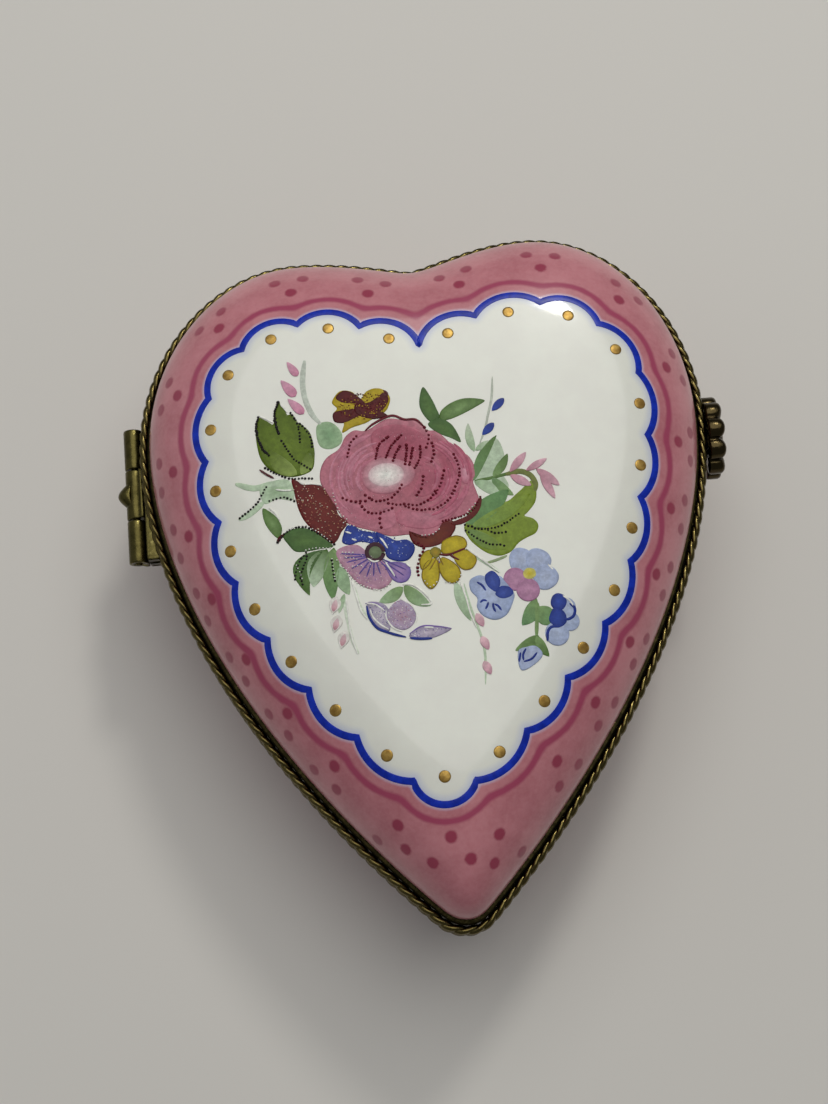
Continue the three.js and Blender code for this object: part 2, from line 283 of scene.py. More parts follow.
def joined(shapes):
    """Several (vertices, faces) shapes as one."""
    verts, faces, count = [], [], 0
    for v, f in shapes:
        verts.append(np.asarray(v, float))
        faces += [tuple(k + count for k in face) for face in f]
        count += len(v)
    return np.vstack(verts), faces


# ---- materials -----------------------------------------------------------------------------------
class Look:
    """A Principled material and short ways to add nodes to it."""

    def __init__(self, name, **sockets):
        self.material = bpy.data.materials.new(name)
        self.material.use_nodes = True
        self.tree = self.material.node_tree
        self.shader = self.tree.nodes["Principled BSDF"]
        for socket, value in sockets.items():
            self.shader.inputs[socket.replace("_", " ")].default_value = value

    def node(self, kind, **sockets):
        made = self.tree.nodes.new("ShaderNode" + kind)
        for key, value in sockets.items():
            if hasattr(made, key):
                setattr(made, key, value)
            else:
                self.put(value, made.inputs[int(key[1:]) if key[0] == "i" and key[1:].isdigit() else key])
        return made

    def put(self, value, socket):
        if isinstance(value, bpy.types.NodeSocket):
            self.tree.links.new(value, socket)
        else:
            socket.default_value = value

    def field(self, name, output="Fac"):
        return self.node("Attribute", attribute_name=name).outputs[output]

    def paint(self, colour):
        self.put(colour, self.shader.inputs["Base Color"])

    def ramp(self, value, low, high):
        made = self.node("MapRange", interpolation_type="SMOOTHSTEP")
        for socket, entry in (("Value", value), ("From Min", low), ("From Max", high)):
            self.put(entry, made.inputs[socket])
        return made.outputs["Result"]

    def math(self, operation, a, b=0.0):
        return self.node("Math", operation=operation, i0=a, i1=b).outputs[0]

    def mix(self, factor, a, b, blend="MIX"):
        made = self.node("Mix", data_type="RGBA", blend_type=blend)
        for index, entry in ((0, factor), (6, a), (7, b)):
            self.put(entry, made.inputs[index])
        return made.outputs[2]

    def noise(self, scale, detail, roughness=0.6):
        where = self.node("TexCoord").outputs["Object"]
        made = self.node("TexNoise", Vector=where, Scale=scale, Detail=detail, Roughness=roughness)
        return made.outputs["Fac"]

    def mottle(self, scale, detail, low, high, a, b):
        """Two colours in clouds."""
        return self.mix(self.ramp(self.noise(scale, detail), low, high), a, b)

    def bump(self, height, strength, distance):
        made = self.node("Bump", Strength=strength, Distance=distance, Height=height)
        self.tree.links.new(made.outputs["Normal"], self.shader.inputs["Normal"])


def rgb(red, green, blue):
    return (red, green, blue, 1.0)


WHITE = rgb(0.80, 0.81, 0.73)
PINK_DEEP = rgb(0.31, 0.04, 0.08)


def glaze(name):
    """Clear glaze over porcelain."""
    look = Look(name, Roughness=0.32, Specular_IOR_Level=0.4, Coat_Weight=0.5, Coat_Roughness=0.08,
                Subsurface_Weight=0.08, Subsurface_Scale=0.004)
    look.shader.inputs["Subsurface Radius"].default_value = (1.0, 0.9, 0.8)
    return look


def painted_china(name, bordered):
    """Porcelain with a sponged pink ground and darker dots. The lid's ground is a border outside the
    scalloped line; the bowl's covers its outside."""
    look = glaze(name)
    cloud = look.ramp(look.noise(260, 4), 0.3, 0.7)
    grain = look.ramp(look.noise(2600, 2), 0.25, 0.75)
    ground = look.field("ground")       # distance into the pink from where the white ends
    white = look.mix(cloud, rgb(0.77, 0.77, 0.70), WHITE)
    pink = look.mix(cloud, rgb(0.44, 0.142, 0.17), rgb(0.55, 0.21, 0.24))
    pink = look.mix(look.math("MULTIPLY", grain, 0.22), pink, rgb(0.62, 0.30, 0.325))
    dots = look.math("ADD", look.field("dots"), look.math("MULTIPLY", look.noise(1400, 2), 0.16))
    pink = look.mix(look.ramp(dots, 0.76, 0.5), pink, PINK_DEEP)
    if bordered:
        line = look.math("ABSOLUTE", look.math("SUBTRACT", look.field("trim"), 1.45))
        line = look.math("ADD", line, look.math("MULTIPLY", look.noise(900, 3), 0.16))
        pink = look.mix(look.ramp(line, 0.52, 0.2), pink, rgb(0.36, 0.055, 0.115))
        halo = look.mix(look.ramp(ground, 0.2, 0.62), rgb(0.58, 0.5, 0.66), pink)
        near = look.mix(look.ramp(ground, -1.1, -0.1), white, rgb(0.56, 0.60, 0.74))
        look.paint(look.mix(look.ramp(ground, -0.05, 0.15), near, halo))
    else:
        look.paint(look.mix(look.ramp(ground, -0.1, 0.1), white, pink))
    look.bump(look.noise(340, 2), 0.06, 0.0004)
    return look.material


def aged_brass(name, dark, light, polish, roughness=0.3, rub=0.72, edges=0.6):
    """Brass with a dark patina. It is rubbed bright on what stands proud, by the share that edges gives, and
    more so the lower rub is."""
    look = Look(name, Metallic=1.0, Roughness=roughness)
    cloud = look.noise(1500, 5, 0.65)
    proud = look.ramp(look.node("NewGeometry").outputs["Pointiness"], 0.47, 0.56)
    worn = look.math("ADD", look.math("MULTIPLY", proud, edges), look.math("MULTIPLY", cloud, 0.7))
    colour = look.mix(look.ramp(worn, 0.25, 0.75), rgb(*dark), rgb(*light))
    look.paint(look.mix(look.ramp(worn, rub, rub + 0.33), colour, rgb(*polish)))
    rough = look.math("MULTIPLY", look.ramp(look.noise(3200, 3), 0.2, 0.8), 0.22)
    look.put(look.math("ADD", rough, roughness - 0.1), look.shader.inputs["Roughness"])
    look.bump(look.noise(5200, 3), 0.25, 0.00006)
    return look.material


BRASS_BAND = aged_brass("brass_band", (0.012, 0.01, 0.004), (0.06, 0.048, 0.016), (0.3, 0.24, 0.09),
                        edges=0)
BRASS_WIRE = aged_brass("brass_wire", (0.018, 0.014, 0.005), (0.115, 0.09, 0.031), (0.5, 0.41, 0.16),
                        roughness=0.2, rub=1.0)
BRASS_HINGE = aged_brass("brass_hinge", (0.022, 0.019, 0.006), (0.095, 0.08, 0.026), (0.45, 0.39, 0.15),
                         rub=0.92)
BRASS_CLASP = aged_brass("brass_clasp", (0.012, 0.008, 0.004), (0.055, 0.041, 0.018), (0.3, 0.27, 0.13),
                         roughness=0.17, rub=1.0)
BRASS_COLLAR = aged_brass("brass_collar", (0.2, 0.15, 0.05), (0.5, 0.38, 0.14), (0.8, 0.65, 0.3),
                          rub=0.5, edges=0)


# ---- porcelain -----------------------------------------------------------------------------------
SHOULDER_RISE = LID_TOP - CROWN - BULGE_Z
INNER_RISE = SHOULDER_RISE - CHINA_T
INNER_D = 3.8                   # depth of the lid's widest line inside
SHOULDER_START = 2.4            # depth inside which the lid's rings are evenly spaced
DOT_PITCH = 3.9                 # from one pink dot to the next round the bowl
DOT_ROWS = ((2.1, 11.6), (2.55, 8.0), (3.6, 4.4))   # depth and height of each row


def crown_rise(depth):
    """How far the lid's middle rises above its shoulder's own curve."""
    return CROWN * np.sin(math.pi / 2 * np.clip((depth - BULGE_D) / (DEEPEST - BULGE_D), 0, 1))


def dome_z(depth):
    """Height of the lid's outside over its widest line."""
    run = np.clip((depth - BULGE_D) / (SHOULDER_D - BULGE_D), 0, 1)
    return BULGE_Z + SHOULDER_RISE * np.sqrt(1 - (1 - run) ** 2) + crown_rise(depth)


def lid_height(xy):
    return dome_z(smooth_depth(xy, OUTLINE))


def on_lid(xy, lift):
    """Points of the lid's plan put on its outside, lift millimetres proud of it."""
    xy = np.asarray(xy, float)
    step = 0.05
    z = lid_height(xy)
    slope_x = (lid_height(xy + (step, 0)) - lid_height(xy - (step, 0))) / (2 * step)
    slope_y = (lid_height(xy + (0, step)) - lid_height(xy - (0, step))) / (2 * step)
    normal = np.stack([-slope_x, -slope_y, np.ones(len(xy))], axis=1)
    normal /= np.linalg.norm(normal, axis=1)[:, None]
    return np.column_stack([xy, z]) + normal * np.asarray(lift)[:, None]


# the hand-painted scallops: where each cusp is, from the cleft down the left side, and down the right side
LEFT_CUSPS = [(-5.2, 21.0), (-10.6, 21.7), (-15.5, 19.9), (-18.6, 15.8), (-19.2, 10.1), (-18.4, 4.6),
              (-17.3, -0.8), (-14.9, -5.9), (-11.7, -10.5), (-8.0, -14.9), (-3.7, -18.9)]
RIGHT_CUSPS = [(5.3, 21.1), (11.1, 21.9), (15.9, 19.6), (18.9, 15.0), (19.0, 9.3), (17.7, 3.7),
               (16.2, -1.8), (13.4, -7.0), (9.7, -11.4), (5.8, -15.6), (1.3, -19.3)]
CUSPS = np.array([(0.0, 18.7)] + LEFT_CUSPS + RIGHT_CUSPS[::-1])
BLUE_W = 0.62
CUSP_IN = 0.36          # how far a cusp's point reaches inside the middle of the line
TIP_SCALLOP, TIP_RISE = 11, 1.95     # the scallop at the tip bulges more than the others


def outward(points):
    """Unit normals of a closed anticlockwise line, at its points."""
    along = np.roll(points, -1, 0) - np.roll(points, 1, 0)
    normal = np.stack([along[:, 1], -along[:, 0]], axis=1)
    return normal / np.linalg.norm(normal, axis=1)[:, None]


CUSP_OUT = outward(CUSPS)
CORNERS = CUSPS + CUSP_OUT * CUSP_IN


def scallop(index):
    """The circular arc from one cusp to the next, bulging outwards."""
    start, end = CORNERS[index], CORNERS[(index + 1) % len(CORNERS)]
    chord = np.linalg.norm(end - start)
    along = (end - start) / chord
    out = np.array([along[1], -along[0]])
    rise = TIP_RISE if index == TIP_SCALLOP else 1.0 + 0.33 * max(out[1], 0)
    radius = (chord ** 2 / 4 + rise ** 2) / (2 * rise)
    middle = (start + end) / 2 - out * (radius - rise)
    half = math.asin(chord / 2 / radius)
    angle = np.linspace(-half, half, 24)[:, None]
    return middle + radius * (np.cos(angle) * out + np.sin(angle) * along)


SCALLOPS = [scallop(k) for k in range(len(CORNERS))]
SCALLOP_LINE = np.vstack([arc[:-1] for arc in SCALLOPS])


def inside(xy, fence):
    """Which points lie inside a closed line."""
    after = np.roll(fence, -1, 0)
    crossings = np.zeros(len(xy), int)
    for (ax, ay), (bx, by) in zip(fence, after):
        if ay == by:
            continue
        level = (ay > xy[:, 1]) != (by > xy[:, 1])
        crossings += level & (xy[:, 0] < ax + (xy[:, 1] - ay) * (bx - ax) / (by - ay))
    return crossings % 2 == 1


def border_dots():
    """Pink dots outside the scallops: one and then two further out beyond each cusp, and three at the tip."""
    spots = []
    for cusp, out in list(zip(CUSPS, CUSP_OUT))[1:]:
        reach = np.linspace(0, 14, 200)
        depth = smooth_depth(cusp + reach[:, None] * out, OUTLINE)
        width = reach[np.argmax(depth < BULGE_D)] * (1 - 0.2 * max(out[1], 0))
        side = np.array([-out[1], out[0]])
        spots.append(cusp + out * width * 0.59)
        spots += [cusp + out * width * 0.82 + side * across for across in (-1.3, 1.3)]
    spots += [(-1.1, -24.0), (-2.8, -25.9), (0.4, -25.9)]
    return np.array(spots, float)


def make_lid():
    turn = np.linspace(0.50, 0.0, 22)[1:] * math.pi / 2
    shoulder = BULGE_D + (SHOULDER_D - BULGE_D) * (1 - np.cos(turn))
    crown = np.linspace(DEEPEST, SHOULDER_START, 74)
    outer = [(d, float(dome_z(d))) for d in [*crown, *shoulder[shoulder < SHOULDER_START - 0.05]]]
    # the edge that overhangs the band, and the upright wall that sits in it
    outer += [(1.27, 18.0), (1.36, 17.82), (1.55, 17.62), (1.8, 17.45), (1.96, 17.25), (2.0, 17.0),
              (2.0, 15.9), (2.04, 15.79), (2.15, LID_RIM)]
    inner = [(4.05, LID_RIM), (4.16, 15.79), (4.2, 15.9), (4.2, 17.0), (4.0, 17.6), (3.85, BULGE_Z)]
    for angle in np.linspace(0, math.pi / 2, 15)[1:]:
        depth = INNER_D + (SHOULDER_D + 0.6 - INNER_D) * (1 - math.cos(angle))
        inner.append((depth, BULGE_Z + INNER_RISE * math.sin(angle) + crown_rise(depth)))
    for depth in np.linspace(10.2, DEEPEST, 18):
        inner.append((depth, BULGE_Z + INNER_RISE + crown_rise(depth)))
    profile = np.array(outer + inner)
    verts, faces = heart_lathe(profile)
    outside = np.tile(np.arange(1, len(profile) - 1) < len(outer), SPOKES)
    outside = np.concatenate([outside, [True, False]])
    xy = verts[:, :2]
    ground = nearest(xy, SCALLOP_LINE)
    ground[inside(xy, SCALLOP_LINE)] *= -1
    ground[~outside] = -9
    trim = np.where(outside, soft_distance(xy, SCALLOP_LINE), 9)
    spots = border_dots()
    dots = nearest(verts, on_lid(spots, np.zeros(len(spots))))
    add_piece("china_lid", verts, faces, "lid", painted_china("china_lid", True), ["lid_dome"],
              {"ground": ground, "trim": trim, "dots": dots})


def make_bowl():
    outer = [(8.25, 0.1), (8.1, 0.02), (7.9, 0.0), (6.6, 0.0), (6.4, 0.03), (6.2, 0.13), (5.9, 0.42)]
    outer += list(smooth_line([(5.6, 0.8), (4.2, 2.5), (3.0, 5.4), (2.35, 9.0), (2.04, 12.0),
                               (2.0, 14.1)], 7))
    outer += [(2.05, 14.2), (2.15, BOWL_RIM)]
    inner = [(4.05, BOWL_RIM), (4.15, 14.2)]
    inner += list(smooth_line([(4.2, 14.1), (4.35, 9.0), (5.0, 6.0), (6.4, 4.0), (8.6, 3.3),
                               (12, 3.22)], 6))
    bottom = [(DEEPEST, 1.0), (12, 1.0), (8.75, 0.98), (8.5, 0.86), (8.38, 0.6)]
    profile = np.array([tuple(p) for p in bottom + outer + inner] + [(DEEPEST, 3.2)])
    verts, faces = heart_lathe(profile)
    foot, wall_end = len(bottom) + 6, len(bottom) + len(outer)
    index = np.tile(np.arange(1, len(profile) - 1), SPOKES)
    painted = np.concatenate([(index > foot) & (index < wall_end), [False, False]])
    spots = []
    for row, (depth, z) in enumerate(DOT_ROWS):
        line = rings([depth])[:, 0]
        count = int(spans(line)[1].sum() / DOT_PITCH)
        spaced = even(np.roll(line, -3 * (row % 2), 0), count)      # every other row starts further round
        spots.append(np.column_stack([spaced, np.full(count, z)]))
    dots = nearest(verts, np.vstack(spots))
    rim = np.concatenate([np.tile(profile[1:-1, 1], SPOKES), [0, 0]])
    ground = np.where(painted, np.minimum(rim - 0.9, 1), -1.0)
    add_piece("china_bowl", verts, faces, "base", painted_china("china_bowl", False),
              ["base_bowl"], {"ground": ground, "dots": dots})


make_lid()
make_bowl()


# ---- thin painting on the lid --------------------------------------------------------------------
class Painting:
    """Touches of enamel, each a thin closed shape on the lid. They are gathered here and made into one piece.
    A later touch lies a little higher than an earlier one."""
    level = 0
    STEP = 0.0003       # how much higher a touch lies than the one before

    def __init__(self):
        self.plan, self.lift, self.colour, self.faces = [], [], [], []
        self.count = 0

    def add(self, xy, lift, colour, faces):
        xy, lift = np.asarray(xy, float), np.broadcast_to(np.asarray(lift, float), len(xy))
        self.plan.append(xy)
        self.lift.append(np.where(lift > 0, lift + Painting.level, lift))
        self.colour.append(np.broadcast_to(np.asarray(colour, float), (len(xy), 3)))
        self.faces += [tuple(k + self.count for k in face) for face in faces]
        self.count += len(xy)

    def strip(self, left, right, lift, colour):
        """A band between two lines, flat across its width with soft edges, closed underneath."""
        Painting.level += Painting.STEP
        left, right = np.asarray(left, float), np.asarray(right, float)
        rows = len(left)
        across = np.array([0.0, 0.03, 0.08, 0.92, 0.97, 1.0])
        top = left[:, None] * (1 - across[:, None]) + right[:, None] * across[:, None]
        under = (left + right)[:, None] / 2
        xy = np.concatenate([top, under], axis=1)
        lifts = np.broadcast_to([-0.02, lift * 0.8, lift, lift, lift * 0.8, -0.02, -0.04], (rows, 7))
        colour = np.asarray(colour, float)
        colours = np.broadcast_to(colour[:, None] if colour.ndim == 2 else colour, (rows, 7, 3))
        self.add(xy.reshape(-1, 2), lifts.reshape(-1), colours.reshape(-1, 3), capped(rows, 7))

    def stroke(self, points, width, colour, taper=0.35, smooth=True):
        """A brush line through the points. Its ends are narrowed to taper of the width."""
        line = smooth_line(points, 6) if smooth and len(points) > 2 else np.asarray(points, float)
        length = np.linalg.norm(np.diff(line, axis=0), axis=1).sum()
        line = even(line, max(4, int(length / 0.12)), closed=False)
        along = np.gradient(line, axis=0)
        side = np.stack([along[:, 1], -along[:, 0]], axis=1)
        side /= np.linalg.norm(side, axis=1)[:, None]
        t = np.linspace(0, 1, len(line))
        width_here = width / 2 * (taper + (1 - taper) * np.sqrt(np.clip(np.minimum(t, 1 - t) * 5, 0, 1)))
        self.strip(line + side * width_here[:, None], line - side * width_here[:, None], 0.03, colour)

    def dot(self, middle, radius, colour, lift=0.05, sides=8):
        angle = np.linspace(0, 2 * math.pi, sides, endpoint=False)
        ring = np.stack([np.cos(angle), np.sin(angle)], axis=1)
        middle = np.asarray(middle, float)
        xy = np.vstack([middle[None], middle + ring * radius * 0.6, middle + ring * radius, middle[None]])
        lifts = [lift] + [lift * 0.85] * sides + [-0.02] * sides + [-0.04]
        first = [(1 + k, 1 + (k + 1) % sides) for k in range(sides)]
        faces = [(0, here, after) for here, after in first]
        faces += [(here, here + sides, after + sides, after) for here, after in first]
        faces += [(1 + 2 * sides, after + sides, here + sides) for here, after in first]
        self.add(xy, lifts, colour, faces)

    def dots(self, points, colour, radius, gap, lift=0.06):
        """A dotted line through the points."""
        line = smooth_line(points, 6) if len(points) > 2 else np.asarray(points, float)
        length = np.linalg.norm(np.diff(line, axis=0), axis=1).sum()
        for spot in even(line, max(2, int(length / gap) + 1), closed=False):
            wobble = [random.gauss(0, 0.02), random.gauss(0, 0.02)]
            self.dot(spot + wobble, radius * random.uniform(0.85, 1.15), colour, lift, sides=6)

    def patch(self, points, edge, core, heart=None, bend=1.0):
        """A wash of colour inside a smooth closed line, going from edge to core colour at its heart."""
        Painting.level += Painting.STEP
        rim = smooth_line(points, 5, closed=True)
        heart = rim.mean(0) if heart is None else np.asarray(heart, float)
        reach = np.array([1.0, 0.97, 0.88, 0.72, 0.52, 0.28])
        rows, lift = len(rim), 0.02
        xy = heart + (rim[:, None] - heart) * reach[:, None]
        lifts = np.broadcast_to([-0.02] + [lift] * 5, (rows, 6))
        blend = (1 - reach[:, None]) ** bend
        colours = np.asarray(edge, float) * (1 - blend) + np.asarray(core, float) * blend
        colours = np.broadcast_to(colours, (rows, 6, 3))
        faces = lattice(rows, 6, wrap_rows=True)
        last = rows * 6
        xy = np.vstack([xy.reshape(-1, 2), heart[None], heart[None]])
        lifts = np.concatenate([lifts.reshape(-1), [lift, -0.04]])
        colours = np.vstack([colours.reshape(-1, 3), [core], [core]])
        for k in range(rows):
            after = (k + 1) % rows
            faces.append((k * 6 + 5, after * 6 + 5, last))
            faces.append((after * 6, k * 6, last + 1))
        self.add(xy, lifts, colours, faces)

    def blade(self, base, tip, width, start, end, bow=0.0, fullest=0.45):
        """A leaf or petal from base to tip, going from one colour to another along its length."""
        base, tip = np.asarray(base, float), np.asarray(tip, float)
        run = tip - base
        side = np.array([run[1], -run[0]]) / np.linalg.norm(run)
        t = np.linspace(0, 1, 14)
        spine = base + t[:, None] * run + (4 * t * (1 - t))[:, None] * side * bow
        power = math.log(0.5) / math.log(fullest)
        half = width / 2 * (0.06 + 0.94 * np.sin(math.pi * t ** power) ** 0.75)
        colour = np.asarray(start) * (1 - t[:, None]) + np.asarray(end) * t[:, None]
        self.strip(spine + side * half[:, None], spine - side * half[:, None], 0.03, colour)

    def speckle(self, outline, count, radius, colours):
        """Small dots scattered inside a closed line."""
        outline = np.asarray(outline, float)
        low, high = outline.min(0), outline.max(0)
        spots = np.array([[random.uniform(low[k], high[k]) for k in (0, 1)] for _ in range(count)])
        for spot in spots[inside(spots, outline)]:
            self.dot(spot, radius * random.uniform(0.7, 1.2), random.choice(colours), 0.04, sides=5)

    def finish(self, name, material):
        verts = on_lid(np.vstack(self.plan), np.concatenate(self.lift))
        add_piece(name, verts, self.faces, "lid", material,
                  fields={"paint": np.vstack(self.colour)})


def enamel(name):
    """Thin paint under the glaze: its colour comes from the touches, broken up as a brush leaves it."""
    look = Look(name, Roughness=0.3, Specular_IOR_Level=0.15)
    wash = look.mix(look.ramp(look.noise(1900, 4, 0.7), 0.3, 0.75), rgb(0.78, 0.78, 0.78),
                    rgb(1.15, 1.15, 1.15))
    look.paint(look.mix(1.0, look.field("paint", "Color"), wash, "MULTIPLY"))
    return look.material


def gold():
    look = Look("gold_paint", Metallic=0.7, Roughness=0.42)
    look.paint(look.mottle(1700, 3, 0.3, 0.7, rgb(0.30, 0.17, 0.035), rgb(0.56, 0.36, 0.09)))
    look.bump(look.noise(6000, 2), 0.2, 0.00004)
    return look.material


def blue_enamel():
    look = Look("blue_enamel", Roughness=0.3, Specular_IOR_Level=0.25)
    look.paint(look.mottle(1200, 3, 0.3, 0.75, rgb(0.003, 0.018, 0.30), rgb(0.008, 0.035, 0.48)))
    return look.material


def scallop_border():
    """The blue line round the white reserve, pointed inwards at each cusp, and a gold dot in each scallop."""
    line, spots = Painting(), Painting()
    inner, outer = [], []
    points, notches = CUSPS, CORNERS + CUSP_OUT * 0.33
    for k, arc in enumerate(SCALLOPS):
        after = (k + 1) % len(SCALLOPS)
        a, b, c = arc[0], arc[len(arc) // 2], arc[-1]
        turn = np.array([b - a, c - b])
        middle = np.linalg.solve(turn, [(b @ b - a @ a) / 2, (c @ c - b @ b) / 2])
        radius = np.linalg.norm(a - middle)
        for ends, side, store in ((points, -1, inner), (notches, 1, outer)):
            start, end = (math.atan2(*(ends[i] - middle)[::-1]) for i in (k, after))
            if end < start:
                end += 2 * math.pi
            angle = np.linspace(start, end, 25)[:-1, None]
            drawn = middle + (radius + side * BLUE_W / 2) * np.hstack([np.cos(angle), np.sin(angle)])
            drawn[0] = ends[k]
            store.append(drawn)
        spots.dot((points[k] + points[after]) / 2, 0.63, (0, 0, 0), lift=0.03, sides=20)
    inner, outer = np.vstack(inner), np.vstack(outer)
    line.strip(np.vstack([inner, inner[:1]]), np.vstack([outer, outer[:1]]), 0.03, (0, 0, 0))
    line.finish("china_lid_scallop_line", blue_enamel())
    spots.finish("china_lid_gold_dots", gold())


scallop_border()


# ---- the bouquet ---------------------------------------------------------------------------------
def oval(middle, across, tall=None, wave=0.0):
    """Points round an ellipse, or round a three-lobed petal."""
    angle = np.linspace(0, 2 * math.pi, 12, endpoint=False)
    reach = 1 + wave * np.cos(3 * angle)
    return np.stack([across * reach * np.cos(angle), (tall or across) * reach * np.sin(angle)], 1) + middle


# colours of the enamels, linear
MAROON, OXBLOOD = (0.115, 0.008, 0.008), (0.07, 0.004, 0.008)
ROSE, ROSE_PALE = (0.47, 0.14, 0.205), (0.66, 0.33, 0.41)
BLUSH, PETAL_PINK = (0.73, 0.55, 0.58), (0.60, 0.24, 0.36)
# CREAM is cream paint, and also the colour of painted glints of light on the raised enamel
INK, CREAM = (0.015, 0.012, 0.014), (0.86, 0.86, 0.80)
LEAF_DEEP, LEAF, LEAF_LIGHT = (0.06, 0.13, 0.035), (0.095, 0.18, 0.045), (0.2, 0.32, 0.12)
OLIVE, LIME, LIME_PALE = (0.088, 0.14, 0.008), (0.2, 0.28, 0.03), (0.27, 0.36, 0.09)
SAGE, MIST = (0.33, 0.47, 0.28), (0.50, 0.63, 0.45)
NAVY, COBALT, SKY = (0.015, 0.035, 0.24), (0.03, 0.07, 0.38), (0.37, 0.44, 0.64)
VIOLET, LILAC, LILAC_PALE = (0.2, 0.12, 0.4), (0.42, 0.26, 0.5), (0.58, 0.48, 0.62)
YELLOW, MUSTARD, STRAW = (0.56, 0.45, 0.02), (0.46, 0.3, 0.02), (0.62, 0.58, 0.16)


def paint_stems():
    art = Painting()
    art.stroke([(-10.2, 18.4), (-10.5, 16.5), (-10.4, 14.8), (-9.9, 13.3), (-9.2, 12.3)], 0.5,
               (0.55, 0.6, 0.52))
    art.patch([(-9.6, 12.1), (-8.7, 12.5), (-7.9, 12.1), (-7.4, 11.2), (-7.6, 10.3), (-8.6, 9.9),
               (-9.5, 10.4)], SAGE, (0.22, 0.37, 0.2), bend=0.8)
    art.stroke([(-17.0, 7.7), (-15.4, 7.1), (-13.8, 7.3), (-12.3, 7.0)], 0.55, MIST)
    art.patch([(-14.9, 7.0), (-13.6, 7.6), (-12.2, 7.4), (-12.0, 5.7), (-13.4, 5.9), (-14.6, 5.6)], MIST,
              SAGE)
    art.stroke([(-16.9, 4.5), (-15.8, 4.9), (-14.6, 5.8)], 0.5, MIST)
    art.stroke([(6.15, 15.4), (5.9, 13.5), (5.4, 11.8), (5.0, 10.5), (4.4, 9.2)], 0.22, (0.5, 0.54, 0.46),
               taper=0.1)
    art.blade((3.9, 8.6), (3.6, 11.2), 0.75, SAGE, (0.52, 0.6, 0.45), bow=-0.15)
    art.blade((4.0, 8.7), (5.8, 9.4), 0.65, SAGE, (0.52, 0.6, 0.45), bow=-0.1)
    art.patch([(3.6, 6.1), (4.6, 8.3), (5.9, 9.7), (6.5, 7.9), (5.9, 6.9), (6.6, 5.3), (5.7, 4.4),
               (4.2, 5.1)], (0.47, 0.58, 0.42), MIST)
    art.blade((3.6, 6.0), (5.95, 9.9), 0.9, (0.16, 0.29, 0.12), LEAF, bow=-0.25)
    art.stroke([(3.7, 5.95), (5.2, 6.1), (7.2, 6.5)], 0.3, LEAF)
    art.blade((5.3, 6.2), (6.75, 8.15), 0.85, LEAF_LIGHT, LEAF, bow=0.12)
    art.blade((5.2, 6.1), (6.9, 4.4), 0.9, (0.16, 0.29, 0.12), LEAF_LIGHT, bow=0.15)
    art.blade((3.7, 5.9), (5.8, 4.3), 1.1, SAGE, MIST, bow=-0.2)
    art.stroke([(2.4, -0.2), (3.3, -0.9), (4.2, -1.6), (5.0, -2.3)], 0.3, MIST)
    art.stroke([(4.0, -1.4), (4.9, -1.2), (5.8, -0.9)], 0.25, (0.3, 0.38, 0.2))
    art.stroke([(1.9, -3.0), (2.2, -4.8), (2.6, -6.4), (3.0, -8.0), (3.1, -9.5), (2.9, -11.8)], 0.22, MIST,
               taper=0.1)
    art.blade((1.2, -2.8), (2.2, -6.3), 0.95, MIST, SAGE, bow=0.12)
    art.stroke([(-8.3, -3.1), (-8.3, -4.5), (-8.1, -6.0), (-7.9, -7.2), (-7.5, -8.2)], 0.3,
               (0.68, 0.76, 0.62))
    art.stroke([(-7.4, -2.5), (-7.1, -4.0), (-6.5, -5.3)], 0.26, (0.68, 0.76, 0.62))
    art.blade((-8.3, -3.0), (-8.9, -4.6), 0.5, SAGE, MIST)
    art.blade((7.9, -4.9), (6.5, -7.0), 1.35, LEAF_LIGHT, (0.13, 0.27, 0.12), bow=-0.2)
    art.blade((7.8, -5.7), (9.6, -6.9), 1.7, LEAF_LIGHT, (0.13, 0.27, 0.12), bow=0.1)
    art.stroke([(7.9, -4.8), (7.8, -6.4), (7.6, -8.1)], 0.34, LEAF_LIGHT)
    art.blade((7.8, -8.0), (5.7, -9.1), 1.0, LEAF, LEAF_LIGHT, bow=-0.15)
    art.blade((7.6, -8.0), (8.5, -9.8), 0.9, LEAF_LIGHT, LEAF, bow=0.12)
    art.blade((-3.3, -2.9), (-5.4, -4.0), 1.1, LEAF_LIGHT, SAGE, bow=-0.15)
    art.blade((-3.2, -2.8), (-1.1, -4.7), 1.25, LEAF_LIGHT, SAGE, bow=0.2)
    art.finish("bouquet_stems", ENAMEL)


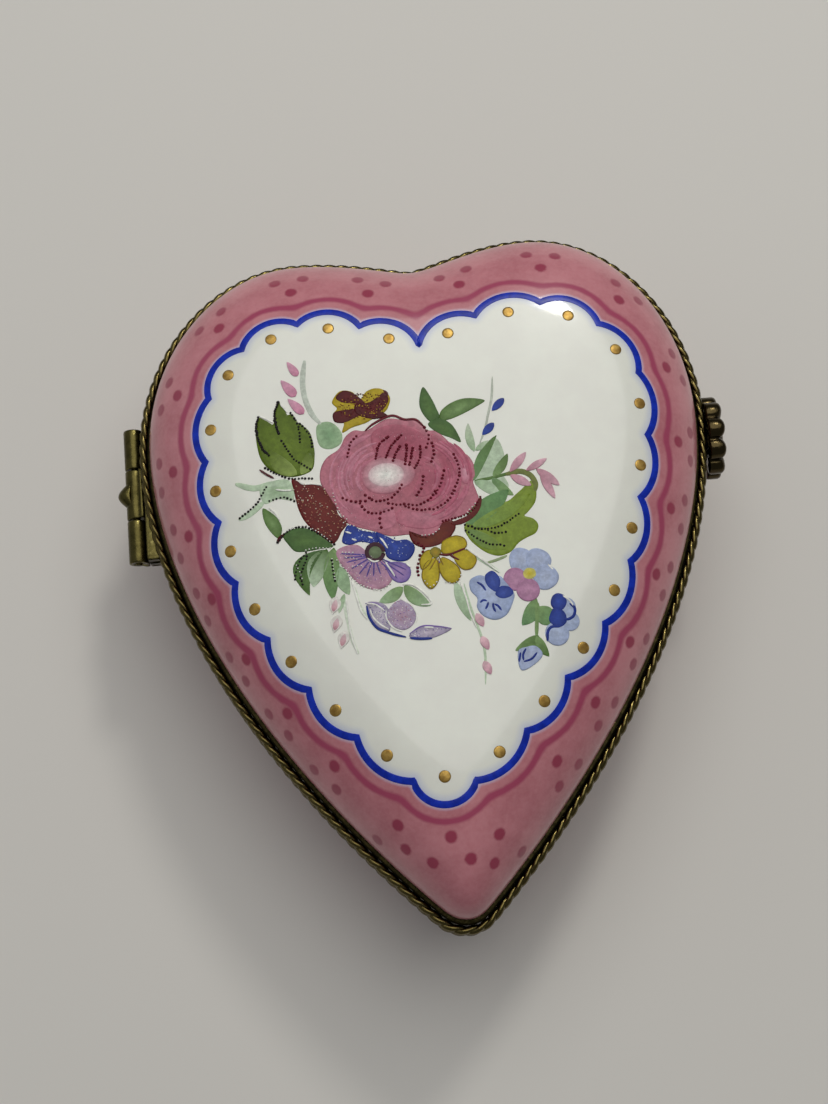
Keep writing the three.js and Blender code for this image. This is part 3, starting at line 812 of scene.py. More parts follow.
def paint_leaves():
    art = Painting()
    art.patch([(-12.0, 7.7), (-13.6, 8.3), (-14.6, 9.5), (-14.95, 11.2), (-14.9, 12.8), (-14.6, 13.5),
               (-13.9, 13.1), (-13.35, 12.75), (-13.2, 13.7), (-12.8, 14.7), (-12.3, 14.2), (-12.05, 13.5),
               (-11.6, 13.5), (-11.15, 12.7), (-10.7, 12.3), (-10.2, 11.7), (-9.95, 10.7), (-9.9, 9.4),
               (-10.3, 8.1)], OLIVE, (0.14, 0.21, 0.02), heart=(-12.2, 10.0))
    art.blade((-11.6, 7.9), (-13.9, 10.4), 1.5, LIME_PALE, OLIVE, bow=-0.3)
    art.blade((-11.2, 7.9), (-10.4, 9.9), 1.1, LIME_PALE, OLIVE, bow=0.2)
    art.patch([(-12.1, 7.6), (-11.2, 7.1), (-10.2, 7.0), (-9.4, 6.6), (-8.7, 6.0), (-8.5, 5.4), (-8.4, 4.6),
               (-8.2, 3.9), (-7.5, 3.2), (-8.1, 2.4), (-8.6, 1.6), (-9.2, 1.5), (-10.3, 2.5), (-11.2, 3.6),
               (-11.7, 4.8), (-11.95, 6.2)], MAROON, (0.16, 0.02, 0.015))
    art.patch([(-14.8, 5.2), (-14.3, 5.0), (-13.6, 4.3), (-13.2, 3.3), (-13.5, 2.4), (-14.1, 2.9),
               (-14.7, 4.0)], LEAF, LEAF_LIGHT)
    art.stroke([(-13.7, 2.0), (-13.5, 2.4), (-13.1, 2.7)], 0.3, OXBLOOD)
    art.patch([(-13.2, 2.6), (-12.5, 3.05), (-11.5, 3.15), (-10.6, 2.8), (-9.6, 2.0), (-8.9, 1.2),
               (-10.0, 1.1), (-11.2, 1.0), (-12.2, 1.1), (-12.8, 1.8)], LEAF_DEEP, LEAF)
    art.blade((-9.9, 1.0), (-11.3, -2.8), 1.8, LEAF_DEEP, LEAF, bow=1.15)
    art.blade((-9.5, 1.0), (-10.9, -2.1), 1.9, LEAF, MIST, bow=0.3)
    art.blade((-8.9, 1.1), (-9.3, -3.4), 1.5, LEAF_LIGHT, (0.14, 0.27, 0.1), bow=0.2)
    art.blade((-8.5, -0.6), (-7.9, -3.1), 1.2, (0.3, 0.45, 0.26), SAGE, bow=0.15)
    art.patch([(0.0, 14.95), (0.6, 13.9), (1.0, 12.8), (1.2, 12.0), (0.7, 11.4), (0.0, 12.0), (-0.45, 13.0),
               (-0.4, 14.0)], LEAF_DEEP, LEAF)
    art.patch([(1.3, 12.5), (2.2, 13.2), (3.3, 13.55), (4.4, 13.5), (5.3, 13.2), (4.5, 12.7), (3.2, 12.1),
               (2.0, 11.7), (1.2, 11.7)], LEAF, LEAF_LIGHT)
    art.patch([(0.2, 11.6), (1.0, 11.9), (1.8, 11.6), (2.4, 10.9), (2.85, 9.55), (2.0, 10.0), (1.0, 10.5),
               (0.2, 11.2)], LEAF_DEEP, LEAF)
    art.patch([(2.4, 2.1), (3.6, 3.2), (4.3, 4.2), (5.4, 4.6), (6.2, 3.9), (7.4, 4.7), (8.75, 5.7),
               (8.95, 4.6), (8.7, 3.6), (8.0, 2.8), (7.7, 2.5), (8.4, 2.2), (8.8, 1.6), (8.5, 0.9),
               (7.6, 0.5), (6.9, 0.1), (6.2, -0.6), (5.2, -0.9), (4.2, -0.6), (3.3, 0.1), (2.6, 1.0)], LIME,
              LIME, heart=(5.3, 1.9))
    art.blade((2.6, 2.2), (6.5, 4.9), 1.9, (0.13, 0.25, 0.09), (0.13, 0.27, 0.1), bow=0.1)
    art.blade((2.7, 1.6), (5.8, -0.3), 1.3, (0.16, 0.27, 0.08), LIME, bow=0.2)
    art.blade((3.0, 1.9), (8.3, 4.4), 1.4, (0.2, 0.32, 0.07), LIME, bow=0.3)
    art.stroke([(6.4, 6.3), (7.6, 6.5), (8.5, 6.1), (8.9, 5.3), (8.8, 4.6)], 0.5, (0.17, 0.2, 0.05))
    art.finish("bouquet_leaves", ENAMEL)


def paint_rose():
    art = Painting()
    art.patch([(-5.3, 11.4), (-3.5, 12.3), (-2.0, 12.1), (-1.0, 12.0), (0.0, 11.0), (0.8, 10.8),
               (1.6, 10.0), (2.1, 9.2), (2.5, 8.6), (3.3, 8.4), (3.8, 7.5), (3.9, 6.5), (3.6, 5.9),
               (3.8, 5.0), (3.9, 4.2), (3.0, 3.2), (1.5, 2.6), (0.6, 2.0), (-0.5, 1.4), (-1.8, 1.3),
               (-2.4, 1.6), (-4.0, 1.6), (-5.5, 2.2), (-7.5, 3.0), (-8.5, 4.5), (-9.2, 5.8), (-9.7, 7.0),
               (-9.6, 8.2), (-9.0, 9.2), (-8.0, 9.8), (-7.6, 10.3), (-7.2, 11.0), (-6.4, 11.5)],
              (0.48, 0.175, 0.225), (0.39, 0.115, 0.155), heart=(-1.5, 6.2))
    art.patch([(-5.0, 10.9), (-3.4, 11.7), (-1.4, 11.4), (0.1, 10.3), (0.4, 8.6), (-0.6, 7.6), (-2.4, 8.3),
               (-4.5, 8.8)], (0.43, 0.125, 0.175), (0.35, 0.075, 0.12))
    art.patch([(0.3, 10.6), (1.5, 9.7), (2.4, 8.2), (2.3, 6.2), (1.6, 4.8), (0.4, 5.2), (0.9, 7.2),
               (0.5, 8.8)], (0.44, 0.135, 0.185), (0.37, 0.085, 0.13))
    art.patch([(-0.5, 8.0), (0.5, 7.2), (0.4, 5.6), (-0.7, 4.9), (-1.7, 5.2), (-1.2, 6.6)],
              (0.43, 0.125, 0.175), (0.38, 0.09, 0.14))
    art.patch([(-8.3, 5.1), (-7.0, 4.9), (-6.0, 4.3), (-5.0, 3.8), (-3.6, 4.2), (-3.4, 2.6), (-4.8, 2.2),
               (-6.4, 2.8), (-7.7, 3.6)], (0.49, 0.18, 0.24), (0.44, 0.135, 0.19))
    art.patch([(-3.2, 3.9), (-1.5, 3.6), (0.3, 3.6), (1.9, 4.4), (2.6, 4.3), (1.4, 2.9), (-0.4, 2.0),
               (-2.2, 2.2), (-3.4, 2.8)], (0.45, 0.14, 0.195), (0.5, 0.2, 0.26))
    art.patch([(2.6, 7.9), (3.4, 7.7), (3.5, 6.6), (3.0, 5.7), (2.5, 6.2)], ROSE, ROSE_PALE)
    for middle, first, last, pale in (((-3.9, 7.0), 95, 175, 0.5), ((-1.6, 6.7), -75, 10, 0.1)):
        for grow in np.linspace(2.0, 5.0, 26):
            start = random.uniform(first, last)
            turn = np.radians(np.linspace(start, start + random.uniform(35, 70), 6))
            tone = random.uniform(pale - 0.35, pale)
            art.stroke(middle + grow * np.stack([np.cos(turn), 0.86 * np.sin(turn)], 1),
                       random.uniform(0.15, 0.3), np.array(ROSE) * (1 - tone) + np.array(ROSE_PALE) * tone,
                       taper=0.1)
    art.patch(oval((-3.8, 7.1), 2.4, 1.7, wave=0.05), (0.44, 0.15, 0.2), BLUSH, bend=0.9)
    art.patch(oval((-3.9, 7.15), 1.6, 1.1), (0.62, 0.37, 0.42), CREAM, bend=0.5)
    art.patch([(-2.4, 2.0), (-1.8, 1.4), (-0.8, 1.45), (0.1, 1.8), (0.6, 2.5), (1.4, 2.6), (1.7, 2.0),
               (1.2, 1.2), (0.5, 0.7), (-0.6, 0.4), (-1.6, 0.5), (-2.2, 1.0)], MAROON, (0.15, 0.03, 0.01),
              heart=(-0.4, 1.05))
    art.stroke([(1.3, 2.3), (2.2, 2.45), (3.0, 2.8), (3.6, 3.4), (4.05, 4.4)], 0.5, MAROON)
    art.speckle(oval((-2.9, 6.7), 5.9, 4.6), 420, 0.045, [ROSE_PALE, ROSE, BLUSH])
    art.finish("bouquet_rose", ENAMEL)


def paint_small_flowers():
    art = Painting()
    art.patch([(-8.1, 14.2), (-7.6, 15.0), (-7.0, 15.25), (-6.2, 15.0), (-5.6, 14.3), (-5.0, 14.95),
               (-4.2, 15.2), (-3.4, 14.95), (-2.95, 14.2), (-3.1, 13.5), (-3.5, 12.9), (-4.5, 12.4),
               (-5.3, 12.0), (-6.5, 11.7), (-7.4, 11.3), (-7.2, 12.2), (-8.0, 12.4), (-8.1, 13.1),
               (-7.7, 13.6)], (0.42, 0.31, 0.012), (0.5, 0.38, 0.02), heart=(-5.6, 13.5))
    art.patch([(-7.75, 14.6), (-7.1, 15.2), (-6.3, 15.0), (-5.5, 14.3), (-5.2, 13.8), (-6.2, 13.9),
               (-7.2, 14.1)], OXBLOOD, MAROON)
    art.patch([(-8.05, 13.2), (-7.2, 13.4), (-6.0, 13.4), (-5.6, 12.9), (-6.3, 12.5), (-7.2, 12.2),
               (-8.0, 12.4)], OXBLOOD, MAROON)
    art.patch([(-6.0, 13.9), (-4.9, 13.9), (-4.0, 14.4), (-3.4, 14.75), (-3.05, 14.1), (-3.3, 13.5),
               (-3.7, 12.95), (-3.3, 12.5), (-4.5, 12.3), (-5.6, 12.6), (-6.2, 13.2)], OXBLOOD, MAROON,
              heart=(-4.8, 13.3))
    art.stroke([(-3.5, 14.9), (-3.2, 14.6), (-3.3, 14.2)], 0.22, OXBLOOD)
    art.speckle(oval((-5.5, 13.6), 2.3, 1.25), 340, 0.09, [OXBLOOD, OXBLOOD, MAROON, MUSTARD])
    for points in (
            [(0.3, 0.6), (0.8, 1.0), (1.6, 1.2), (2.3, 0.9), (2.45, 0.3), (2.0, -0.1), (1.2, -0.3),
             (0.3, -0.2)],
            [(1.2, -0.4), (2.2, -0.1), (2.9, -0.4), (3.15, -1.1), (2.7, -1.75), (2.0, -1.8), (1.5, -1.3)],
            [(0.2, -0.6), (0.9, -0.9), (1.5, -1.5), (1.7, -2.2), (1.3, -2.85), (0.6, -2.8), (0.1, -2.2),
             (-0.1, -1.3)],
            [(-0.3, -0.6), (-0.1, -1.8), (-0.3, -2.7), (-0.9, -3.25), (-1.4, -2.8), (-1.6, -2.0),
             (-1.2, -1.0)],
            [(-0.6, 0.1), (-1.2, 0.0), (-1.65, -0.7), (-1.55, -1.5), (-1.0, -1.2), (-0.6, -0.6)]):
        outer = smooth_line(points, 5, closed=True)
        art.patch(points, (0.42, 0.32, 0.01), YELLOW)
        art.stroke(outer[:-2], 0.09, (0.22, 0.15, 0.015), smooth=False)
    art.patch([(-0.8, 0.0), (-0.3, 0.4), (0.2, 0.1), (0.1, -0.4), (-0.4, -0.6)], (0.18, 0.17, 0.02),
              MUSTARD)
    art.stroke([(0.0, -0.3), (0.8, -0.4), (1.6, -0.2), (2.3, 0.05)], 0.2, MAROON)
    art.stroke([(0.9, -0.4), (1.3, -0.7), (1.7, -0.95)], 0.18, MAROON)
    for a, b in (((0.0, -0.5), (0.3, -1.3)), ((-0.2, -0.6), (-0.9, -1.6)), ((-0.1, -0.6), (-0.1, -1.5))):
        art.stroke([a, b], 0.12, (0.25, 0.16, 0.02), smooth=False)
    art.finish("bouquet_yellow_flowers", ENAMEL)


def paint_pansies():
    art = Painting()
    art.patch([(-8.0, 2.2), (-7.6, 2.95), (-7.0, 2.85), (-6.4, 2.4), (-5.6, 2.2), (-4.9, 2.0), (-5.2, 1.0),
               (-5.8, 1.2), (-6.6, 1.4), (-7.5, 1.2), (-8.15, 1.5)], NAVY, COBALT)
    art.patch([(-5.2, 2.1), (-4.3, 1.7), (-3.5, 1.25), (-2.6, 1.25), (-2.0, 0.7), (-2.1, 0.0), (-2.7, -0.6),
               (-3.6, -0.6), (-4.4, -0.2), (-4.6, 0.5), (-5.0, 1.1)], NAVY, COBALT)
    art.patch([(-8.8, 0.6), (-8.2, 1.1), (-7.0, 1.2), (-6.4, 0.8), (-5.9, 0.2), (-4.8, -0.4), (-4.4, -1.0),
               (-4.1, -2.0), (-4.6, -2.7), (-5.6, -2.95), (-6.6, -2.6), (-7.3, -2.0), (-7.8, -1.3),
               (-8.4, -0.5)], (0.5, 0.27, 0.36), (0.3, 0.19, 0.36), heart=(-6.0, -0.1), bend=1.3)
    art.patch([(-4.7, -0.8), (-4.0, -0.6), (-3.2, -0.7), (-2.6, -1.1), (-2.5, -1.8), (-2.9, -2.4),
               (-3.6, -2.5), (-4.2, -2.1), (-4.5, -1.5)], (0.1, 0.08, 0.34), LILAC, bend=0.5)
    for tip in (
            (-8.3, 0.5), (-8.1, 0.1), (-7.9, -0.3), (-7.5, -0.9), (-6.9, -1.4), (-6.3, -1.7), (-5.7, -1.7),
            (-5.1, -1.6), (-3.7, -2.1), (-3.1, -1.9), (-2.9, -1.4)):
        start = np.array((-5.5, 0.1)) * 0.75 + np.array(tip) * 0.25
        art.stroke([start, tip], 0.13, (0.1, 0.07, 0.3), smooth=False)
    # the cream specks are partly painted glints of light on the enamel
    art.speckle([(-8.6, 0.5), (-6.0, 0.3), (-4.4, -1.0), (-4.6, -2.6), (-5.6, -2.9), (-7.3, -2.0)], 150,
                0.055, [BLUSH, CREAM, VIOLET])
    for petal in (
            [(-8.0, 1.5), (-7.6, 2.8), (-5.0, 2.0), (-5.2, 1.1)],
            [(-4.9, 1.1), (-4.9, 2.0), (-2.2, 1.0), (-2.2, 0.0), (-3.6, -0.5), (-4.5, 0.4)]):
        art.speckle(petal, 60, 0.07, [(0.35, 0.42, 0.72), NAVY, (0.62, 0.68, 0.85)])
    turn = np.linspace(0, 6.1, 26)
    ring = 0.72 * np.stack([np.cos(turn), np.sin(turn)], 1) + (-5.4, 0.35)
    art.patch([(-5.4, 1.1), (-4.8, 0.9), (-4.6, 0.3), (-4.9, -0.2), (-5.5, -0.35), (-6.05, 0.0),
               (-6.1, 0.6), (-5.9, 0.95)], (0.1, 0.13, 0.07), (0.16, 0.22, 0.11))
    art.stroke(ring, 0.38, (0.05, 0.012, 0.025), smooth=False, taper=0.9)
    art.patch([(-6.45, -4.0), (-5.8, -3.9), (-5.1, -4.15), (-4.7, -4.6), (-4.6, -5.3), (-4.7, -6.5),
               (-5.3, -6.4), (-5.8, -6.05), (-6.3, -5.2)], (0.33, 0.29, 0.42), (0.58, 0.52, 0.6))
    art.patch([(-4.8, -4.9), (-4.2, -4.2), (-3.4, -4.0), (-2.7, -4.6), (-2.4, -5.4), (-2.7, -6.2),
               (-3.5, -6.6), (-4.3, -6.3), (-4.9, -5.7)], (0.44, 0.36, 0.5), (0.46, 0.3, 0.4))
    # cream specks here are partly painted glints of light on the enamel
    art.speckle(oval((-3.6, -5.3), 1.25), 130, 0.065, [CREAM, VIOLET, LILAC_PALE, ROSE])
    art.patch([(-3.0, -6.9), (-2.0, -6.4), (-0.8, -6.55), (0.5, -6.8), (-0.5, -7.3), (-1.6, -7.5),
               (-3.0, -7.3)], (0.33, 0.29, 0.42), (0.55, 0.48, 0.58))
    art.speckle([(-3.0, -6.9), (-0.8, -6.5), (0.3, -6.8), (-1.6, -7.4), (-3.0, -7.2)], 70, 0.065,
                [CREAM, VIOLET, NAVY])
    art.speckle([(-6.3, -4.2), (-5.0, -4.3), (-4.8, -6.3), (-6.1, -5.2)], 80, 0.065, [CREAM, VIOLET, NAVY])
    art.stroke([(-6.5, -4.2), (-6.35, -5.2), (-5.8, -6.15), (-5.0, -6.6), (-4.3, -6.9), (-3.4, -7.2)], 0.24,
               NAVY)
    art.stroke([(-3.1, -7.3), (-2.2, -7.45), (-1.2, -7.5)], 0.24, NAVY)
    art.stroke([(-3.1, -6.95), (-2.0, -6.4), (-0.8, -6.5), (0.5, -6.8)], 0.12, VIOLET)
    art.stroke([(-6.6, -4.0), (-5.7, -4.1), (-5.0, -4.8), (-4.9, -5.5)], 0.12, VIOLET)
    art.stroke([(-4.9, -4.7), (-4.9, -5.5), (-4.4, -6.3), (-3.7, -6.7)], 0.14, CREAM)
    art.finish("bouquet_pansy", ENAMEL)


def paint_blue_flowers():
    art = Painting()
    for middle in ((7.0, -1.4), (8.4, -1.55), (8.9, -3.0)):
        art.patch(oval(middle, 1.12, wave=0.045), SKY, (0.44, 0.5, 0.66))
    for middle in ((6.3, -3.0), (7.3, -4.0)):
        art.patch(oval(middle, 1.02), (0.42, 0.2, 0.34), (0.5, 0.26, 0.4))
    art.patch([(7.0, -2.5), (7.4, -2.1), (8.0, -2.25), (8.1, -2.8), (7.6, -3.1), (7.1, -2.95)], STRAW,
              YELLOW)
    art.patch([(2.4, -2.8), (3.2, -2.4), (4.0, -2.6), (5.0, -2.6), (5.5, -3.2), (6.1, -4.2), (5.9, -5.0),
               (5.3, -6.0), (4.3, -6.4), (3.3, -6.0), (2.8, -5.2), (2.9, -4.4), (2.4, -3.7)],
              (0.34, 0.42, 0.64), (0.42, 0.49, 0.68))
    art.patch([(3.8, -2.4), (4.4, -2.1), (4.9, -2.6), (5.0, -3.3), (4.6, -4.0), (4.0, -3.6), (3.7, -3.0)],
              (0.02, 0.045, 0.27), (0.05, 0.09, 0.38))
    art.patch([(4.5, -4.0), (5.0, -3.5), (5.7, -3.6), (6.05, -4.1), (5.7, -4.5), (5.0, -4.6), (4.5, -4.3)],
              (0.02, 0.045, 0.27), (0.05, 0.09, 0.38))
    for points in (
            [(3.0, -3.0), (3.4, -3.3), (3.7, -3.8)], [(3.1, -4.8), (3.4, -4.6), (3.7, -4.7)],
            [(3.5, -5.4), (3.7, -5.1), (3.8, -4.8)], [(4.2, -4.9), (4.2, -5.3), (4.35, -5.7)],
            [(4.3, -5.0), (4.6, -5.2), (4.85, -5.6)]):
        art.stroke(points, 0.2, NAVY)
    for middle, size in (((10.4, -5.7), 0.85), ((10.6, -6.9), 0.85), ((9.4, -7.9), 1.05)):
        art.patch(oval(middle, size), SKY, (0.42, 0.49, 0.66))
    art.patch([(9.3, -4.7), (9.8, -4.45), (10.35, -4.7), (10.5, -5.3), (10.1, -5.9), (9.5, -5.9),
               (9.1, -5.4)], NAVY, COBALT)
    art.patch([(9.3, -5.7), (9.9, -5.8), (10.3, -6.3), (10.3, -7.0), (9.7, -7.4), (9.1, -7.2), (8.8, -6.6)],
              NAVY, COBALT)
    art.stroke([(10.7, -5.4), (11.1, -5.8), (11.0, -6.4), (10.6, -6.7), (10.1, -6.8)], 0.26, NAVY)
    art.stroke([(9.7, -7.35), (9.0, -7.3), (8.6, -7.7), (8.5, -8.5)], 0.26, NAVY)
    art.patch([(5.9, -9.2), (6.7, -8.85), (7.5, -8.85), (8.0, -9.6), (7.2, -10.4), (6.0, -10.8)], SKY,
              (0.44, 0.5, 0.68))
    for points in (
            [(6.1, -9.3), (6.0, -9.7), (5.9, -10.1)], [(6.6, -9.0), (6.3, -9.5), (6.3, -10.0)],
            [(6.3, -10.1), (7.0, -9.9), (7.5, -9.4)]):
        art.stroke(points, 0.2, NAVY)
    art.blade((6.95, 13.25), (5.8, 12.2), 0.72, NAVY, COBALT)
    art.blade((5.85, 11.05), (4.75, 10.05), 0.72, NAVY, COBALT)
    art.finish("bouquet_blue_flowers", ENAMEL)


def paint_buds():
    art = Painting()
    for base, tip, width in (
            ((-10.9, 17.0), (-11.75, 18.4), 0.75), ((-11.2, 15.1), (-12.4, 16.7), 0.95),
            ((-10.6, 13.4), (-11.9, 14.9), 0.85)):
        art.blade(base, tip, width, PETAL_PINK, (0.66, 0.36, 0.47), fullest=0.35)
    for base, tip, width in (
            ((6.8, 6.5), (8.35, 8.15), 0.75), ((8.2, 6.5), (10.1, 7.45), 0.65),
            ((9.1, 6.6), (10.95, 5.0), 0.85), ((9.4, 6.2), (10.45, 3.85), 0.75),
            ((6.8, 6.2), (8.5, 5.15), 0.8)):
        art.blade(base, tip, width, (0.56, 0.27, 0.34), (0.64, 0.38, 0.45), fullest=0.5)
    for middle in ((-9.2, -3.9), (-9.2, -5.5), (-8.7, -6.9)):
        low, high = np.array(middle) - (0.25, 0.72), np.array(middle) + (0.25, 0.72)
        art.blade(low, high, 1.05, (0.8, 0.77, 0.72), (0.8, 0.77, 0.72), fullest=0.6)
        art.blade(low + (0.08, 0.2), high - (0.08, 0.25), 0.6, (0.6, 0.3, 0.35), BLUSH)
    for x, y in ((2.95, -6.3), (3.2, -8.3), (3.2, -10.4)):
        art.blade((x - 0.25, y + 0.6), (x + 0.25, y - 0.55), 0.75, (0.74, 0.5, 0.54), (0.64, 0.33, 0.42))
    art.finish("bouquet_buds", ENAMEL)


def paint_dotted_lines():
    """The maroon and black dotted outlines, drawn on top of everything."""
    art = Painting()
    dark = (0.13, 0.005, 0.016)
    art.stroke([(-5.4, 11.3), (-4.6, 11.9), (-3.0, 12.5), (-1.9, 12.05), (-0.9, 11.95), (-0.2, 11.2)], 0.2,
               dark)
    for points in (
            [(-0.2, 11.2), (0.1, 10.3), (-0.2, 9.3)], [(-6.2, 10.9), (-6.8, 10.2), (-7.1, 9.1)],
            [(0.3, 9.7), (0.4, 8.8), (0.1, 8.0)], [(2.1, 8.5), (2.45, 7.2), (2.2, 6.0), (1.6, 5.0)],
            [(1.1, 7.1), (0.8, 6.1), (0.2, 5.1)], [(-0.7, 6.7), (-0.9, 5.8), (-1.4, 5.1)],
            [(-7.8, 5.4), (-6.9, 5.0), (-5.9, 5.0)],
            [(-5.8, 5.5), (-5.0, 4.9), (-3.8, 5.0), (-3.0, 5.6), (-2.6, 6.1)],
            [(-6.4, 4.8), (-5.8, 4.0), (-4.8, 3.8), (-3.6, 4.1)], [(-4.7, 3.7), (-4.75, 3.1), (-4.7, 2.5)],
            [(-3.9, 4.6), (-3.0, 4.4), (-2.3, 4.4), (-1.4, 4.2), (-0.3, 4.7), (0.2, 5.3)],
            [(-2.5, 4.2), (-1.4, 3.8), (0.0, 3.8), (1.1, 4.3), (1.9, 5.2)],
            [(-2.0, 1.0), (-1.2, 0.4), (-1.6, -0.3), (-1.9, -1.3), (-1.9, -2.0)]):
        art.dots(points, dark, 0.165, 0.34)
    for points in (
            [(-3.4, 10.6), (-4.3, 9.9), (-4.7, 8.7)], [(-2.3, 10.6), (-3.2, 9.8), (-3.8, 8.7)],
            [(-2.5, 9.6), (-2.9, 9.0), (-3.2, 8.4)], [(-1.9, 9.7), (-2.0, 8.8), (-2.2, 8.0)],
            [(-1.4, 9.4), (-1.6, 8.6), (-1.8, 7.9)], [(-0.7, 9.5), (-0.9, 8.3), (-1.4, 7.6)]):
        art.dots(points, dark, 0.17, 0.24)
    for points in (
            [(-14.6, 13.5), (-14.85, 12.5), (-14.7, 11.3), (-14.3, 10.4), (-13.9, 9.9)],
            [(-12.8, 14.7), (-13.15, 13.6), (-13.1, 12.6), (-12.9, 11.8)]):
        art.dots(points, INK, 0.16, 0.2)
    for points in (
            [(-12.7, 11.1), (-12.3, 10.3), (-11.7, 9.3), (-11.0, 8.7), (-10.4, 8.3)],
            [(-11.8, 13.6), (-11.3, 12.8), (-11.1, 11.8), (-11.1, 10.8)],
            [(-11.0, 12.5), (-10.4, 11.7), (-10.1, 10.8), (-10.1, 10.3)],
            [(-14.3, 8.8), (-13.2, 8.1), (-12.1, 7.6), (-11.0, 7.5), (-10.3, 7.4)],
            [(-14.3, 7.1), (-14.9, 6.2), (-15.5, 5.5), (-16.8, 4.6)],
            [(-14.1, 5.8), (-13.0, 6.0), (-12.0, 5.6)],
            [(-13.7, 2.1), (-12.7, 3.0), (-11.5, 3.2), (-10.5, 2.8), (-9.5, 2.0), (-8.8, 1.4)],
            [(-11.3, 0.9), (-11.9, 0.2), (-12.3, -0.7), (-12.4, -1.3)],
            [(-11.2, 0.6), (-11.7, -0.5), (-11.9, -1.2), (-11.8, -1.8)],
            [(-9.15, 0.0), (-9.1, -1.0), (-9.0, -1.8)],
            [(2.5, 2.1), (3.5, 1.7), (4.7, 1.6), (5.8, 1.9), (7.1, 2.7)],
            [(2.5, 1.6), (3.3, 0.9), (4.3, 0.3), (5.6, 0.0)], [(4.4, 1.5), (5.0, 1.15), (5.9, 1.2)]):
        art.dots(points, INK, 0.135, 0.28)
    art.dots([(0.6, 2.6), (1.8, 2.8), (3.0, 3.2), (3.7, 3.9), (4.0, 4.5)], dark, 0.13, 0.27)
    art.stroke([(-14.8, 8.7), (-14.2, 8.2), (-13.6, 7.8)], 0.2, (0.09, 0.015, 0.02))
    for spot in (
            (0.0, -1.0), (-6.3, -0.9), (-5.6, -1.0), (-7.2, -0.4), (-4.6, -1.2), (-3.7, -1.4),
            (-4.9, -0.7)):
        art.dot(spot, 0.1, VIOLET)
    art.finish("bouquet_dotted_lines", ENAMEL)


def paint_white_enamel_and_glints():
    """Raised white and cream lines and specks: partly white enamel outlines, partly painted highlights where
    light glints on the raised enamel.
    """
    art = Painting()
    for points in (
            # these first three strokes on the leaves at the top left are painted highlights of light glinting
            # on raised enamel
            [(-14.5, 13.6), (-13.9, 13.25), (-13.35, 12.85)],
            [(-12.6, 14.5), (-12.3, 14.1), (-12.05, 13.7)], [(-11.2, 12.7), (-10.8, 12.45)],
            [(-14.2, 5.2), (-13.7, 4.7), (-13.35, 4.0)], [(-13.5, 6.75), (-12.8, 6.6), (-12.1, 6.55)],
            [(-11.5, 7.3), (-11.1, 7.0), (-10.3, 6.95), (-9.6, 6.75)],
            [(-7.6, -1.9), (-7.3, -3.3), (-7.0, -4.6), (-6.5, -5.4)],
            [(-8.2, -3.4), (-8.1, -5.0), (-8.0, -6.6), (-7.6, -8.2)],
            [(-6.5, -4.0), (-5.7, -4.2), (-5.0, -4.8)],
            [(-3.6, -3.9), (-2.8, -4.4), (-2.35, -5.2), (-2.4, -6.0)],
            [(-3.3, -2.65), (-2.4, -2.8), (-1.5, -3.6), (-1.0, -4.5), (-1.9, -4.55)],
            [(-4.9, 1.6), (-4.6, 1.2), (-4.3, 0.6)], [(-6.1, -0.1), (-5.6, -0.45), (-5.1, -0.4)],
            [(-4.6, -0.6), (-4.2, -1.3), (-3.9, -1.9)], [(-2.9, -0.8), (-2.5, -1.2)],
            [(2.4, 0.0), (3.1, -0.6), (4.0, -1.4), (5.0, -2.3)],
            [(1.6, -2.9), (1.95, -4.2), (2.2, -5.6), (2.6, -6.9)],
            [(10.2, -4.7), (10.7, -5.1), (11.0, -5.6)],
            [(-6.25, -4.5), (-6.05, -5.2), (-5.5, -5.9), (-4.8, -6.4)], [(-7.3, 1.7), (-6.9, 1.55)],
            [(-7.8, 2.4), (-7.3, 2.2)], [(-5.9, 1.8), (-5.5, 1.6)], [(-1.8, -6.5), (-1.0, -6.6)],
            [(9.2, -1.9), (9.6, -2.4)]):
        art.stroke(points, 0.15, CREAM, smooth=len(points) > 2)
    art.speckle([(-12.1, 7.5), (-9.4, 6.5), (-8.4, 5.2), (-8.2, 3.9), (-7.6, 3.2), (-9.2, 1.6),
                 (-11.2, 3.6), (-11.9, 6.2)], 260, 0.075,
                [(0.6, 0.38, 0.24), (0.42, 0.16, 0.1), (0.75, 0.66, 0.52)])
    # cream dotted lines over the leaves and the pansy: partly painted glints of light on the enamel
    for points in (
            [(-12.9, 2.9), (-11.9, 3.3), (-11.0, 3.2), (-10.0, 2.5), (-9.2, 1.7)],
            [(-11.3, 1.15), (-10.3, 1.2), (-9.2, 1.1)], [(-9.1, 0.1), (-9.05, -0.8), (-9.0, -1.7)],
            [(-12.2, -0.1), (-11.8, -1.3)], [(-7.9, 3.2), (-7.0, 2.8), (-6.2, 2.35), (-5.2, 2.1)],
            [(-8.7, 0.0), (-8.0, -1.0), (-7.4, -1.9), (-6.4, -2.6), (-5.2, -2.95), (-4.4, -2.5)],
            [(-8.2, 0.6), (-7.3, 0.5)], [(-7.9, 0.1), (-7.0, -0.1)], [(-7.4, -0.7), (-6.7, -0.7)],
            [(0.2, 1.9), (-0.4, 1.5), (-1.3, 1.5)], [(-8.6, 5.9), (-8.4, 5.0), (-8.1, 4.1), (-7.6, 3.5)],
            [(3.5, 3.9), (2.8, 3.2)], [(-1.4, -2.5), (-0.9, -3.1), (-0.4, -2.7)],
            [(0.4, -2.8), (1.2, -2.9), (1.7, -2.3)]):
        art.dots(points, CREAM, 0.085, 0.3, lift=0.085)
    art.finish("bouquet_white_enamel_and_glints", ENAMEL)


ENAMEL = enamel("enamel")
paint_stems()
paint_leaves()
paint_rose()
paint_small_flowers()
paint_pansies()
paint_blue_flowers()
paint_buds()
paint_dotted_lines()
paint_white_enamel_and_glints()


